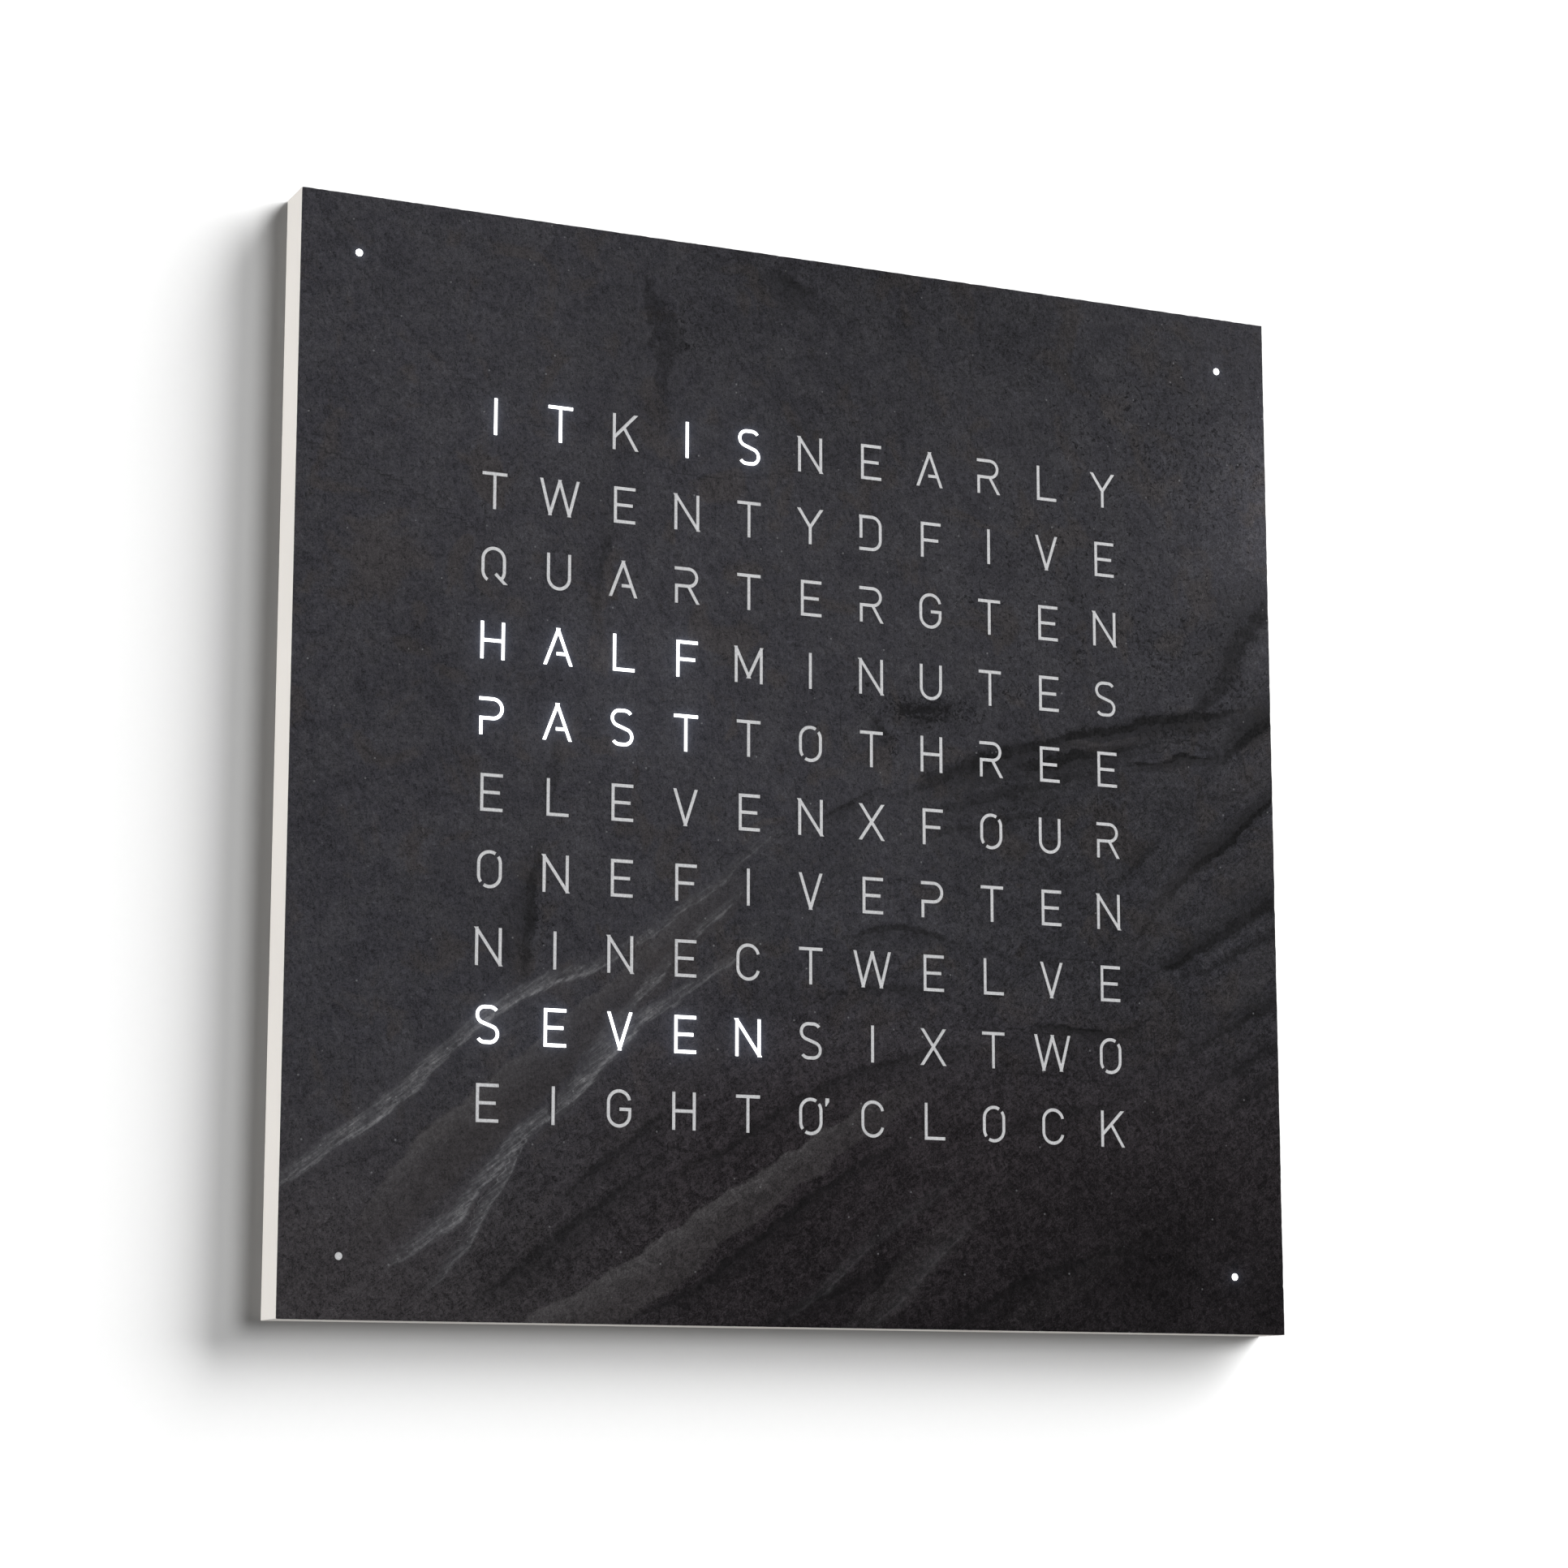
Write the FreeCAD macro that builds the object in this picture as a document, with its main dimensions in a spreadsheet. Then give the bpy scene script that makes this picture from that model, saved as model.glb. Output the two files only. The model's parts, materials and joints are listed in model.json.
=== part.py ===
import FreeCAD, Part
import math
import os
from FreeCAD import Placement, Rotation, Vector

# Word clock: a square slate face with letter cut-outs, pulled off a shallow
# white housing that holds the light cells, the boards and the wall hangers.
#
# Frame: +Z up, +X to the right of a viewer, the face looks along -Y.
# The origin is the middle of the rear plane, which lies against the wall.

doc = FreeCAD.newDocument("word_clock")
sheet = doc.addObject("Spreadsheet::Sheet", "dimensions")

DIMENSIONS = [
    # outside
    ("face_size", 450.0),
    ("total_depth", 20.0),
    ("slate_thick", 1.0),
    ("film_thick", 0.4),
    ("carrier_thick", 1.2),
    ("wall_thick", 4.0),
    ("flange_width", 10.0),
    ("flange_thick", 2.0),
    ("panel_thick", 2.0),
    ("panel_gap", 0.2),
    ("cover_gap", 0.7),
    # lettering
    ("column_pitch", 28.25),
    ("row_pitch", 31.0),
    ("glyph_half", 7.0),
    ("stroke_width", 1.45),
    ("land_gap", 0.05),
    ("land_recess", 0.3),
    ("dot_offset", 200.7),
    ("dot_radius", 1.55),
    ("window_size", 24.0),
    ("dot_window_radius", 5.5),
    # light cells
    ("board_front", 8.2),
    ("board_thick", 1.6),
    ("board_size", 330.0),
    ("cell_wall", 1.5),
    ("cell_top", 17.2),
    ("led_size", 5.0),
    ("led_height", 1.6),
    ("lens_radius", 2.0),
    ("lens_depth", 0.4),
    ("tube_outer_radius", 6.0),
    ("tube_inner_radius", 4.7),
    ("corner_board_size", 22.0),
    # fasteners
    ("standoff_radius", 3.2),
    ("standoff_bore", 1.5),
    ("board_hole_radius", 1.6),
    ("screw_radius", 1.4),
    ("screw_head_radius", 2.75),
    ("screw_head_height", 1.8),
    ("screw_length", 5.0),
    ("panel_screw_radius", 1.5),
    ("panel_screw_hole", 1.6),
    ("panel_screw_head", 3.0),
    ("panel_screw_sink", 1.5),
    ("panel_screw_length", 6.0),
    ("panel_screw_line", 216.0),
    ("panel_screw_spread", 150.0),
    # hangers
    ("hanger_spread", 150.0),
    ("hanger_height", 180.0),
    ("hanger_travel", 14.0),
    ("hanger_entry_radius", 4.5),
    ("hanger_slot_radius", 2.3),
    ("hanger_window_radius", 6.0),
    ("plate_width", 30.0),
    ("plate_height", 40.0),
    ("plate_thick", 1.5),
    ("rivet_radius", 1.5),
    ("rivet_head_radius", 2.8),
    ("rivet_head_height", 1.0),
    ("rivet_spread", 10.5),
    ("pad_radius", 8.0),
    ("pad_thick", 0.8),
    ("pad_spread", 185.0),
    # supply inlet
    ("grommet_across", 100.0),
    ("grommet_drop", 190.0),
    ("grommet_bore", 4.0),
    ("grommet_neck", 7.0),
    ("grommet_rim", 9.0),
    ("grommet_rim_thick", 1.5),
    # magnets
    ("post_length", 14.0),
    ("post_spread", 75.0),
    ("magnet_radius", 4.0),
    ("magnet_pocket", 4.1),
    ("magnet_thick", 3.0),
    # buttons
    ("button_radius", 2.5),
    ("button_hole", 2.58),
    ("button_collar", 3.6),
    ("button_collar_thick", 1.6),
    ("button_pitch", 14.0),
    ("button_axis_depth", 10.5),
    ("button_travel", 0.5),
    ("plunger_radius", 1.7),
    ("plunger_bore", 1.78),
    ("plunger_length", 2.8),
    ("switch_size", 6.2),
    ("switch_face", 209.0),
    ("switch_depth", 4.4),
]

for row, (alias, value) in enumerate(DIMENSIONS, start=1):
    sheet.set("A%d" % row, alias)
    sheet.set("B%d" % row, repr(value))
    sheet.setAlias("B%d" % row, alias)
doc.recompute()


class Size:
    """A length that knows its value and the sheet expression it comes from."""

    def __init__(self, value, text):
        self.value = float(value)
        self.text = text

    def __add__(self, other):
        other = as_size(other)
        return Size(self.value + other.value, "(%s + %s)" % (self.text, other.text))

    def __radd__(self, other):
        return as_size(other) + self

    def __sub__(self, other):
        other = as_size(other)
        return Size(self.value - other.value, "(%s - %s)" % (self.text, other.text))

    def __rsub__(self, other):
        return as_size(other) - self

    def __mul__(self, other):
        other = as_size(other)
        return Size(self.value * other.value, "(%s * %s)" % (self.text, other.text))

    def __rmul__(self, other):
        return self * other

    def __truediv__(self, other):
        other = as_size(other)
        return Size(self.value / other.value, "(%s / %s)" % (self.text, other.text))

    def __neg__(self):
        return Size(-self.value, "(0 - %s)" % self.text)


def as_size(number):
    if isinstance(number, Size):
        return number
    return Size(number, "(%.6f)" % number)


def dim(alias):
    return Size(sheet.get(alias), "dimensions." + alias)


def bind(thing, prop, size):
    size = as_size(size)
    if "." not in prop:
        setattr(thing, prop, size.value)
    thing.setExpression(prop, size.text)


def place(thing, x, y, z, rotation=None):
    x, y, z = as_size(x), as_size(y), as_size(z)
    thing.Placement = Placement(Vector(x.value, y.value, z.value), rotation or Rotation())
    bind(thing, "Placement.Base.x", x)
    bind(thing, "Placement.Base.y", y)
    bind(thing, "Placement.Base.z", z)


counter = [0]


def fresh(stem):
    counter[0] += 1
    return "%s_%03d" % (stem, counter[0])


def box(x0, x1, y0, y1, z0, z1, name=None):
    """Rectangular block between two corners."""
    x0, x1, y0, y1, z0, z1 = [as_size(v) for v in (x0, x1, y0, y1, z0, z1)]
    thing = doc.addObject("Part::Box", name or fresh("block"))
    bind(thing, "Length", x1 - x0)
    bind(thing, "Width", y1 - y0)
    bind(thing, "Height", z1 - z0)
    place(thing, x0, y0, z0)
    return thing


TURN = {
    "x": Rotation(Vector(0, 1, 0), 90),
    "y": Rotation(Vector(1, 0, 0), -90),
    "z": Rotation(),
}


def rod(axis, x, y, z, radius, length, name=None):
    """Cylinder that starts at x, y, z and runs along +axis."""
    thing = doc.addObject("Part::Cylinder", name or fresh("rod"))
    bind(thing, "Radius", radius)
    bind(thing, "Height", length)
    place(thing, x, y, z, TURN[axis])
    return thing


def cone(axis, x, y, z, radius_start, radius_end, length):
    thing = doc.addObject("Part::Cone", fresh("cone"))
    bind(thing, "Radius1", radius_start)
    bind(thing, "Radius2", radius_end)
    bind(thing, "Height", length)
    place(thing, x, y, z, TURN[axis])
    return thing


def hexagon(x, y, z, radius, length):
    """Hexagonal prism that runs along +Y."""
    thing = doc.addObject("Part::Prism", fresh("hexagon"))
    thing.Polygon = 6
    bind(thing, "Circumradius", radius)
    bind(thing, "Height", length)
    place(thing, x, y, z, TURN["y"])
    return thing


def group(things, name=None):
    if len(things) == 1 and name is None:
        return things[0]
    thing = doc.addObject("Part::Compound", name or fresh("group"))
    thing.Links = things
    return thing


def fuse(things, name=None):
    thing = doc.addObject("Part::MultiFuse", name or fresh("fused"))
    thing.Shapes = things
    thing.Refine = True
    return thing


def cut(base, tools, name=None):
    thing = doc.addObject("Part::Cut", name or fresh("cut"))
    thing.Base = base
    thing.Tool = group(tools)
    return thing


def feature(shape, name):
    """A piece drawn directly; its sizes are read from the sheet by the caller."""
    thing = doc.addObject("Part::Feature", name)
    thing.Shape = shape
    thing.Placement = Placement()
    return thing


def plane(body, role):
    for item in body.Origin.OriginFeatures:
        if item.Role == role:
            return item


def sketch_on(body, role, offset=None):
    sketch = body.newObject("Sketcher::SketchObject", fresh("sketch"))
    sketch.AttachmentSupport = [(plane(body, role), "")]
    sketch.MapMode = "FlatFace"
    if offset is not None:
        offset = as_size(offset)
        sketch.AttachmentOffset = Placement(Vector(0, 0, offset.value), Rotation())
        sketch.setExpression("AttachmentOffset.Base.z", offset.text)
    return sketch


def signed(sketch, kind, index, point, size):
    """Distance of a point from the sketch origin along one axis, bound to the sheet."""
    import Sketcher
    size = as_size(size)
    # a distance constraint reads from its first point to its second one
    number = sketch.addConstraint(Sketcher.Constraint(kind, -1, 1, index, point, size.value))
    sketch.setExpression("Constraints[%d]" % number, size.text)


def polygon(sketch, points):
    """Closed outline whose corners are all bound to the sheet."""
    import Sketcher
    points = [(as_size(u), as_size(v)) for u, v in points]
    first = sketch.GeometryCount
    count = len(points)
    for i in range(count):
        a, b = points[i], points[(i + 1) % count]
        sketch.addGeometry(Part.LineSegment(Vector(a[0].value, a[1].value, 0),
                                            Vector(b[0].value, b[1].value, 0)), False)
    for i in range(count):
        sketch.addConstraint(Sketcher.Constraint("Coincident", first + i, 2,
                                                 first + (i + 1) % count, 1))
    for i in range(count):
        signed(sketch, "DistanceX", first + i, 1, points[i][0])
        signed(sketch, "DistanceY", first + i, 1, points[i][1])


def circle(sketch, u, v, radius):
    import Sketcher
    u, v, radius = as_size(u), as_size(v), as_size(radius)
    index = sketch.addGeometry(Part.Circle(Vector(u.value, v.value, 0),
                                           Vector(0, 0, 1), radius.value), False)
    number = sketch.addConstraint(Sketcher.Constraint("Radius", index, radius.value))
    sketch.setExpression("Constraints[%d]" % number, radius.text)
    signed(sketch, "DistanceX", index, 3, u)
    signed(sketch, "DistanceY", index, 3, v)


def pad(body, sketch, length):
    thing = body.newObject("PartDesign::Pad", fresh("pad"))
    thing.Profile = sketch
    bind(thing, "Length", length)
    body.Tip = thing
    sketch.Visibility = False
    return thing


def pocket(body, sketch, length, reverse):
    thing = body.newObject("PartDesign::Pocket", fresh("pocket"))
    thing.Profile = sketch
    bind(thing, "Length", length)
    thing.Reversed = reverse
    body.Tip = thing
    return thing


NODES = {}


def node(name, thing):
    """Names the finished piece."""
    thing.Label = name
    NODES[name] = thing


half = dim("face_size") / 2
inner = half - dim("wall_thick")
front = -dim("total_depth")
slate_back = front + dim("slate_thick")
film_back = slate_back + dim("film_thick")
carrier_back = film_back + dim("carrier_thick")
frame_depth = -slate_back
panel_front = -dim("panel_thick")
board_front = -dim("board_front")
board_back = board_front + dim("board_thick")
cell_top = -dim("cell_top")

COLUMNS = 11
ROWS = 10
cell_x = [dim("column_pitch") * (i - (COLUMNS - 1) / 2.0) for i in range(COLUMNS)]
cell_z = [dim("row_pitch") * ((ROWS - 1) / 2.0 - i) for i in range(ROWS)]
CORNERS = [(-1, 1), (1, 1), (-1, -1), (1, -1)]

# --------------------------------------------------------------------------
# Lettering: thin upright stencil capitals, drawn as strokes about the middle
# of their cell. Every counter keeps a bridge, so no slate falls out.

FACE = [
    "ITKISNEARLY",
    "TWENTYDFIVE",
    "QUARTERGTEN",
    "HALFMINUTES",
    "PASTTOTHREE",
    "ELEVENXFOUR",
    "ONEFIVEPTEN",
    "NINECTWELVE",
    "SEVENSIXTWO",
    "EIGHTOCLOCK",
]

top = dim("glyph_half").value
cut_low = front.value - 1.0
cut_high = slate_back.value + 1.0


def prism(points):
    corners = [Vector(u, cut_low, v) for u, v in points]
    face = Part.Face(Part.makePolygon(corners + corners[:1]))
    return face.extrude(Vector(0, cut_high - cut_low, 0))


def band(low, high):
    return Part.makeBox(40, cut_high - cut_low, high - low, Vector(-20, cut_low, low))


def alphabet(stroke):
    """Every letter, drawn with one width of stroke, as solids through the slate."""
    cap = top + stroke / 2.0

    def bar(u1, v1, u2, v2, before=0.0, after=0.0):
        """A straight stroke, its ends moved out by before and after."""
        length = math.hypot(u2 - u1, v2 - v1)
        du, dv = (u2 - u1) / length, (v2 - v1) / length
        u1, v1 = u1 - du * before, v1 - dv * before
        u2, v2 = u2 + du * after, v2 + dv * after
        nu, nv = -dv * stroke / 2.0, du * stroke / 2.0
        return ("poly", [(u1 + nu, v1 + nv), (u2 + nu, v2 + nv),
                         (u2 - nu, v2 - nv), (u1 - nu, v1 - nv)])

    def bow(cu, cv, radius, start, end):
        """A round stroke about cu, cv from start to end degrees."""
        return ("bow", cu, cv, radius, start, end)

    R = 4.6
    Q = top - R

    glyphs = {
        "I": [bar(0, -cap, 0, cap)],
        "T": [bar(-5.4, top, 5.4, top), bar(0, -cap, 0, top)],
        "L": [bar(-3.6, cap, -3.6, -cap), bar(-3.6, -top, 5.3, -top, stroke / 2)],
        "E": [bar(-3.7, cap, -3.7, -cap), bar(-3.7, top, 5.2, top, stroke / 2),
              bar(-3.7, 0, 4.0, 0), bar(-3.7, -top, 5.2, -top, stroke / 2)],
        "F": [bar(-3.7, cap, -3.7, -cap), bar(-3.7, top, 5.2, top, stroke / 2),
              bar(-3.7, -0.2, 4.0, -0.2)],
        "H": [bar(-4.5, cap, -4.5, -cap), bar(4.5, cap, 4.5, -cap), bar(-4.5, 0, 4.5, 0)],
        "A": [bar(-5.35, -top, 0, top, 3, 3), bar(5.35, -top, 0, top, 3, 3),
              bar(-0.7, -2.9, 3.8, -2.9)],
        "N": [bar(-4.95, cap, -4.95, -cap), bar(4.95, cap, 4.95, -cap),
              bar(-4.95, top, 4.95, -top, 2, 2)],
        "V": [bar(-4.55, top, 0, -top, 3, 3), bar(4.55, top, 0, -top, 3, 3)],
        "W": [bar(-7.85, top, -4.2, -top, 3, 3), bar(0, top, -4.2, -top, 3, 3),
              bar(0, top, 4.2, -top, 3, 3), bar(7.85, top, 4.2, -top, 3, 3)],
        "X": [bar(-4.75, top, 4.85, -top, 3, 3), bar(4.75, top, -4.85, -top, 3, 3)],
        "Y": [bar(-4.9, top, 0, -0.3, 3, 0), bar(4.9, top, 0, -0.3, 3, 0),
              bar(0, 0.1, 0, -cap)],
        "K": [bar(-4.5, cap, -4.5, -cap), bar(-4.5, -2.5, 4.6, top, 0, 3),
              bar(-0.2, 1.9, 5.2, -top, 0, 3)],
        "U": [bar(-R, cap, -R, -Q), bar(R, cap, R, -Q), bow(0, -Q, R, 180, 360)],
        "O": [bow(0, Q, R, 58, 180), bar(-R, Q, -R, -Q), bow(0, -Q, R, 180, 218),
              bow(0, -Q, R, 238, 360), bar(R, -Q, R, Q), bow(0, Q, R, 0, 38)],
        "Q": [bow(0, Q, R, 0, 180), bar(-R, Q, -R, -Q), bow(0, -Q, R, 180, 235),
              bar(R, Q, R, -Q), bow(0, -Q, R, 312, 360), bar(0.8, -3.4, 4.6, -7.1, 0, 3)],
        "C": [bow(0, Q, R, 12, 180), bar(-R, Q, -R, -Q), bow(0, -Q, R, 180, 348)],
        "G": [bow(0, Q, R, 12, 180), bar(-R, Q, -R, -Q), bow(0, -Q, R, 180, 360),
              bar(R, -Q, R, -0.3), bar(R, -0.3, 0.1, -0.3, stroke / 2)],
        "D": [bar(-4.5, cap, -4.5, -2.4), bar(-5.4, top, 0.6, top), bow(0.6, 3.0, 4.0, 0, 90),
              bar(4.6, 3.0, 4.6, -3.0), bow(0.6, -3.0, 4.0, 270, 360),
              bar(0.6, -top, -5.4, -top)],
        "P": [bar(-5.4, top, 0.5, top), bow(0.5, 3.05, 3.95, -90, 90),
              bar(0.5, -0.9, -4.5, -0.9, 0, stroke / 2), bar(-4.5, -0.9, -4.5, -cap)],
        "R": [bar(-5.4, top, 0.9, top), bow(0.9, 3.35, 3.65, -90, 90),
              bar(0.9, -0.3, -4.5, -0.3, 0, stroke / 2), bar(-4.5, -0.3, -4.5, -cap),
              bar(0.8, -0.3, 4.8, -top, 0, 3)],
        "S": [bow(1.1, 3.8, 3.2, 35, 90), bar(1.1, top, -1.1, top),
              bow(-1.1, 3.8, 3.2, 90, 250.1), bar(-2.19, 0.79, 2.19, -0.79, 0.02, 0.02),
              bow(1.1, -3.8, 3.2, -90, 70.1), bar(1.1, -top, -1.1, -top),
              bow(-1.1, -3.8, 3.2, 215, 270)],
    }

    # the two legs of M meet above the base line
    m_legs = [bar(-5.7, top, 0, -4.9, 3, 3), bar(5.7, top, 0, -4.9, 3, 3)]
    m_stems = [bar(-5.7, cap, -5.7, -cap), bar(5.7, cap, 5.7, -cap)]
    gap = (dim("stroke_width").value - stroke) / 2.0
    tick = [(6.5 + gap, cap), (8.4 - gap, cap), (8.4 - gap, 6.3), (7.1 - gap, 4.3 + gap), (6.5 + gap, 4.3 + gap)]

    def stroke_solid(item):
        if item[0] == "poly":
            return prism(item[1])
        cu, cv, radius, start, end = item[1:]

        def at(r, angle):
            angle = math.radians(angle)
            return Vector(cu + r * math.cos(angle), cut_low, cv + r * math.sin(angle))

        middle = (start + end) / 2.0
        ro, ri = radius + stroke / 2.0, radius - stroke / 2.0
        wire = Part.Wire([
            Part.Arc(at(ro, start), at(ro, middle), at(ro, end)).toShape(),
            Part.LineSegment(at(ro, end), at(ri, end)).toShape(),
            Part.Arc(at(ri, end), at(ri, middle), at(ri, start)).toShape(),
            Part.LineSegment(at(ri, start), at(ro, start)).toShape()])
        return Part.Face(wire).extrude(Vector(0, cut_high - cut_low, 0))

    def letter(name):
        if name == "M":
            legs = stroke_solid(m_legs[0]).fuse(stroke_solid(m_legs[1]))
            legs = legs.common(band(-5.75, cap))
            solid = legs.fuse([stroke_solid(s) for s in m_stems])
        else:
            solids = [stroke_solid(s) for s in glyphs[name]]
            solid = solids[0]
            if len(solids) > 1:
                solid = solid.fuse(solids[1:])
            solid = solid.common(band(-cap, cap))
        return solid.removeSplitter()

    solids = {name: letter(name).Solids for name in sorted(set("".join(FACE)))}
    solids["'"] = [prism(tick)]
    return solids


# The opal film stands up into each cut-out, a little narrower than the stroke
land_low = front + dim("land_recess")
land_high = slate_back + dim("film_thick") / 2
slab = Part.makeBox(40, (land_high - land_low).value, 40, Vector(-20, land_low.value, -20))

cutters = []
lands = []
places = [(name, cell_x[c], cell_z[r]) for r, words in enumerate(FACE) for c, name in enumerate(words)]
places.append(("'", cell_x[5], cell_z[9]))
openings = alphabet(dim("stroke_width").value)
raised = alphabet((dim("stroke_width") - 2 * dim("land_gap")).value)
raised = {name: [s.common(slab) for s in solids] for name, solids in raised.items()}
for name, x, z in places:
    for source, target in [(openings[name], cutters), (raised[name], lands)]:
        for shape in source:
            copy = shape.copy()
            copy.translate(Vector(x.value, 0, z.value))
            target.extend(copy.Solids)

# --------------------------------------------------------------------------
# Front cover

slate_blank = box(-half, half, front, slate_back, -half, half)
letter_cutter = feature(Part.makeCompound(cutters), "letter_cutter")
dot_cutters = [rod("y", dim("dot_offset") * i, front - 1, dim("dot_offset") * k,
                   dim("dot_radius"), dim("slate_thick") + 2) for i, k in CORNERS]
node("slate_face", cut(slate_blank, [letter_cutter] + dot_cutters, "slate_sheet"))

cover_half = inner - dim("cover_gap")
film_blank = box(-cover_half, cover_half, slate_back, film_back, -cover_half, cover_half)
letter_lands = feature(Part.makeCompound(lands), "letter_lands")
dot_lands = [rod("y", dim("dot_offset") * i, land_low, dim("dot_offset") * k,
                 dim("dot_radius") - dim("land_gap"), land_high - land_low) for i, k in CORNERS]
node("diffuser_sheet", fuse([film_blank, letter_lands] + dot_lands, "opal_film"))

carrier = doc.addObject("PartDesign::Body", "carrier")
carrier_sketch = sketch_on(carrier, "XZ_Plane", -carrier_back)
polygon(carrier_sketch, [(-cover_half, -cover_half), (cover_half, -cover_half),
                         (cover_half, cover_half), (-cover_half, cover_half)])
pad(carrier, carrier_sketch, dim("carrier_thick"))
window = dim("window_size") / 2
window_boxes = []
for x in cell_x:
    for z in cell_z:
        w = window.value
        window_boxes.append(Part.makeBox(2 * w, dim("carrier_thick").value + 2, 2 * w,
                                         Vector(x.value - w, film_back.value - 1, z.value - w)))
window_cutter = feature(Part.makeCompound(window_boxes), "window_cutter")
dot_windows = [rod("y", dim("dot_offset") * i, film_back - 1, dim("dot_offset") * k,
                   dim("dot_window_radius"), dim("carrier_thick") + 2) for i, k in CORNERS]
node("carrier_plate", cut(carrier, [window_cutter] + dot_windows, "steel_carrier"))

# --------------------------------------------------------------------------
# Housing frame: four mitred angle profiles, a wall and a rear flange

flange_edge = inner - dim("flange_width")


def side(name, turn):
    """One profile. turn gives the sketch corner for an outward and a sideways distance."""
    body = doc.addObject("PartDesign::Body", name + "_body")
    wall = sketch_on(body, "XZ_Plane")
    polygon(wall, [turn(half, -half), turn(half, half), turn(inner, inner), turn(inner, -inner)])
    pad(body, wall, frame_depth)
    flange = sketch_on(body, "XZ_Plane", dim("panel_thick"))
    polygon(flange, [turn(inner, -inner), turn(inner, inner),
                     turn(flange_edge, flange_edge), turn(flange_edge, -flange_edge)])
    pad(body, flange, dim("flange_thick"))
    return body


screw_line = dim("panel_screw_line")
spread = dim("panel_screw_spread")


def screw_spots(turn):
    return [turn(screw_line, spread * k) for k in (-1, 0, 1)]


SIDES = {
    "frame_left": lambda out, along: (-out, along),
    "frame_right": lambda out, along: (out, along),
    "frame_top": lambda out, along: (along, out),
    "frame_bottom": lambda out, along: (along, -out),
}

button_z = [dim("button_pitch") * k for k in (1.5, 0.5, -0.5, -1.5)]
button_y = -dim("button_axis_depth")
ALL_SPOTS = []
for name, turn in SIDES.items():
    body = side(name, turn)
    spots = screw_spots(turn)
    ALL_SPOTS.extend(spots)
    tools = [rod("y", x, -(dim("panel_thick") + dim("flange_thick") + 1), z,
                 dim("panel_screw_hole"), dim("flange_thick") + 2) for x, z in spots]
    if name == "frame_right":
        tools += [rod("x", inner - 1, button_y, z, dim("button_hole"), dim("wall_thick") + 2)
                  for z in button_z]
    node(name, cut(body, tools, name + "_profile"))

bracket_leg = as_size(24.0)
bracket_thick = as_size(3.0)
brackets = []
for i, k in CORNERS:
    a, b = (inner - bracket_leg) * i, inner * i
    c, d = (inner - bracket_thick) * i, inner * i
    e, f = (inner - bracket_thick) * k, inner * k
    g, h = (inner - bracket_leg) * k, inner * k
    low, high = as_size(-16.0), as_size(-8.0)
    along = box(a if i > 0 else b, b if i > 0 else a, low, high,
                e if k > 0 else f, f if k > 0 else e)
    upright = box(c if i > 0 else d, d if i > 0 else c, low, high,
                  g if k > 0 else h, h if k > 0 else g)
    brackets.append(fuse([along, upright]))
node("corner_brackets", group(brackets, "mitre_brackets"))

# --------------------------------------------------------------------------
# Back panel with its hanging plates, pads, screws and lead inlet

panel_half = inner - dim("panel_gap")
panel = doc.addObject("PartDesign::Body", "panel")
panel_sketch = sketch_on(panel, "XZ_Plane")
polygon(panel_sketch, [(-panel_half, -panel_half), (panel_half, -panel_half),
                       (panel_half, panel_half), (-panel_half, panel_half)])
pad(panel, panel_sketch, dim("panel_thick"))

through = dim("panel_thick") + 2
panel_tools = []
for x, z in ALL_SPOTS:
    panel_tools.append(rod("y", x, panel_front - 1, z, dim("panel_screw_hole"), through))
    panel_tools.append(cone("y", x, -dim("panel_screw_sink") - 0.02, z,
                            dim("panel_screw_hole"),
                            dim("panel_screw_head") + 0.15, dim("panel_screw_sink") + 0.02))


def keyhole(x, y0, depth, low_radius, high_radius, name=None):
    """Entry circle and the slot that rises from it."""
    low_z = dim("hanger_height")
    high_z = dim("hanger_height") + dim("hanger_travel")
    return fuse([rod("y", x, y0, low_z, low_radius, depth),
                 rod("y", x, y0, high_z, high_radius, depth),
                 box(x - high_radius, x + high_radius, y0, y0 + depth, low_z, high_z)], name)


plate_back = panel_front
plate_front = panel_front - dim("plate_thick")
plates = []
rivets = []
rivet_z = dim("hanger_height") + dim("hanger_travel") / 2
for k in (-1, 1):
    x = dim("hanger_spread") * k
    panel_tools.append(keyhole(x, panel_front - 1, through,
                               dim("hanger_window_radius"), dim("hanger_window_radius")))
    blank = box(x - dim("plate_width") / 2, x + dim("plate_width") / 2, plate_front, plate_back,
                rivet_z - dim("plate_height") / 2, rivet_z + dim("plate_height") / 2)
    holes = [keyhole(x, plate_front - 1, dim("plate_thick") + 2,
                     dim("hanger_entry_radius"), dim("hanger_slot_radius"))]
    for s in (-1, 1):
        rx = x + dim("rivet_spread") * s
        holes.append(rod("y", rx, plate_front - 1, rivet_z, dim("rivet_radius") + 0.05,
                         dim("plate_thick") + 2))
        panel_tools.append(rod("y", rx, panel_front - 1, rivet_z, dim("rivet_radius") + 0.05,
                               through))
        rivets.append(fuse([
            rod("y", rx, plate_front - dim("rivet_head_height"), rivet_z,
                dim("rivet_head_radius"), dim("rivet_head_height")),
            rod("y", rx, plate_front, rivet_z, dim("rivet_radius"),
                dim("plate_thick") + dim("panel_thick") - 0.1)]))
    plates.append(cut(blank, holes))
node("keyhole_plates", group(plates, "hanging_plates"))
node("plate_rivets", group(rivets, "hanging_rivets"))

# rows of vent slots low on the panel
for k in (-1, 1):
    for i in range(7):
        x = 92.0 * k + (i - 3) * 8.0
        panel_tools.append(fuse([
            box(x - 1.25, x + 1.25, panel_front - 1, as_size(1.0), -92.0, -68.0),
            rod("y", x, panel_front - 1, -92.0, 1.25, through),
            rod("y", x, panel_front - 1, -68.0, 1.25, through)]))

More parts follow.
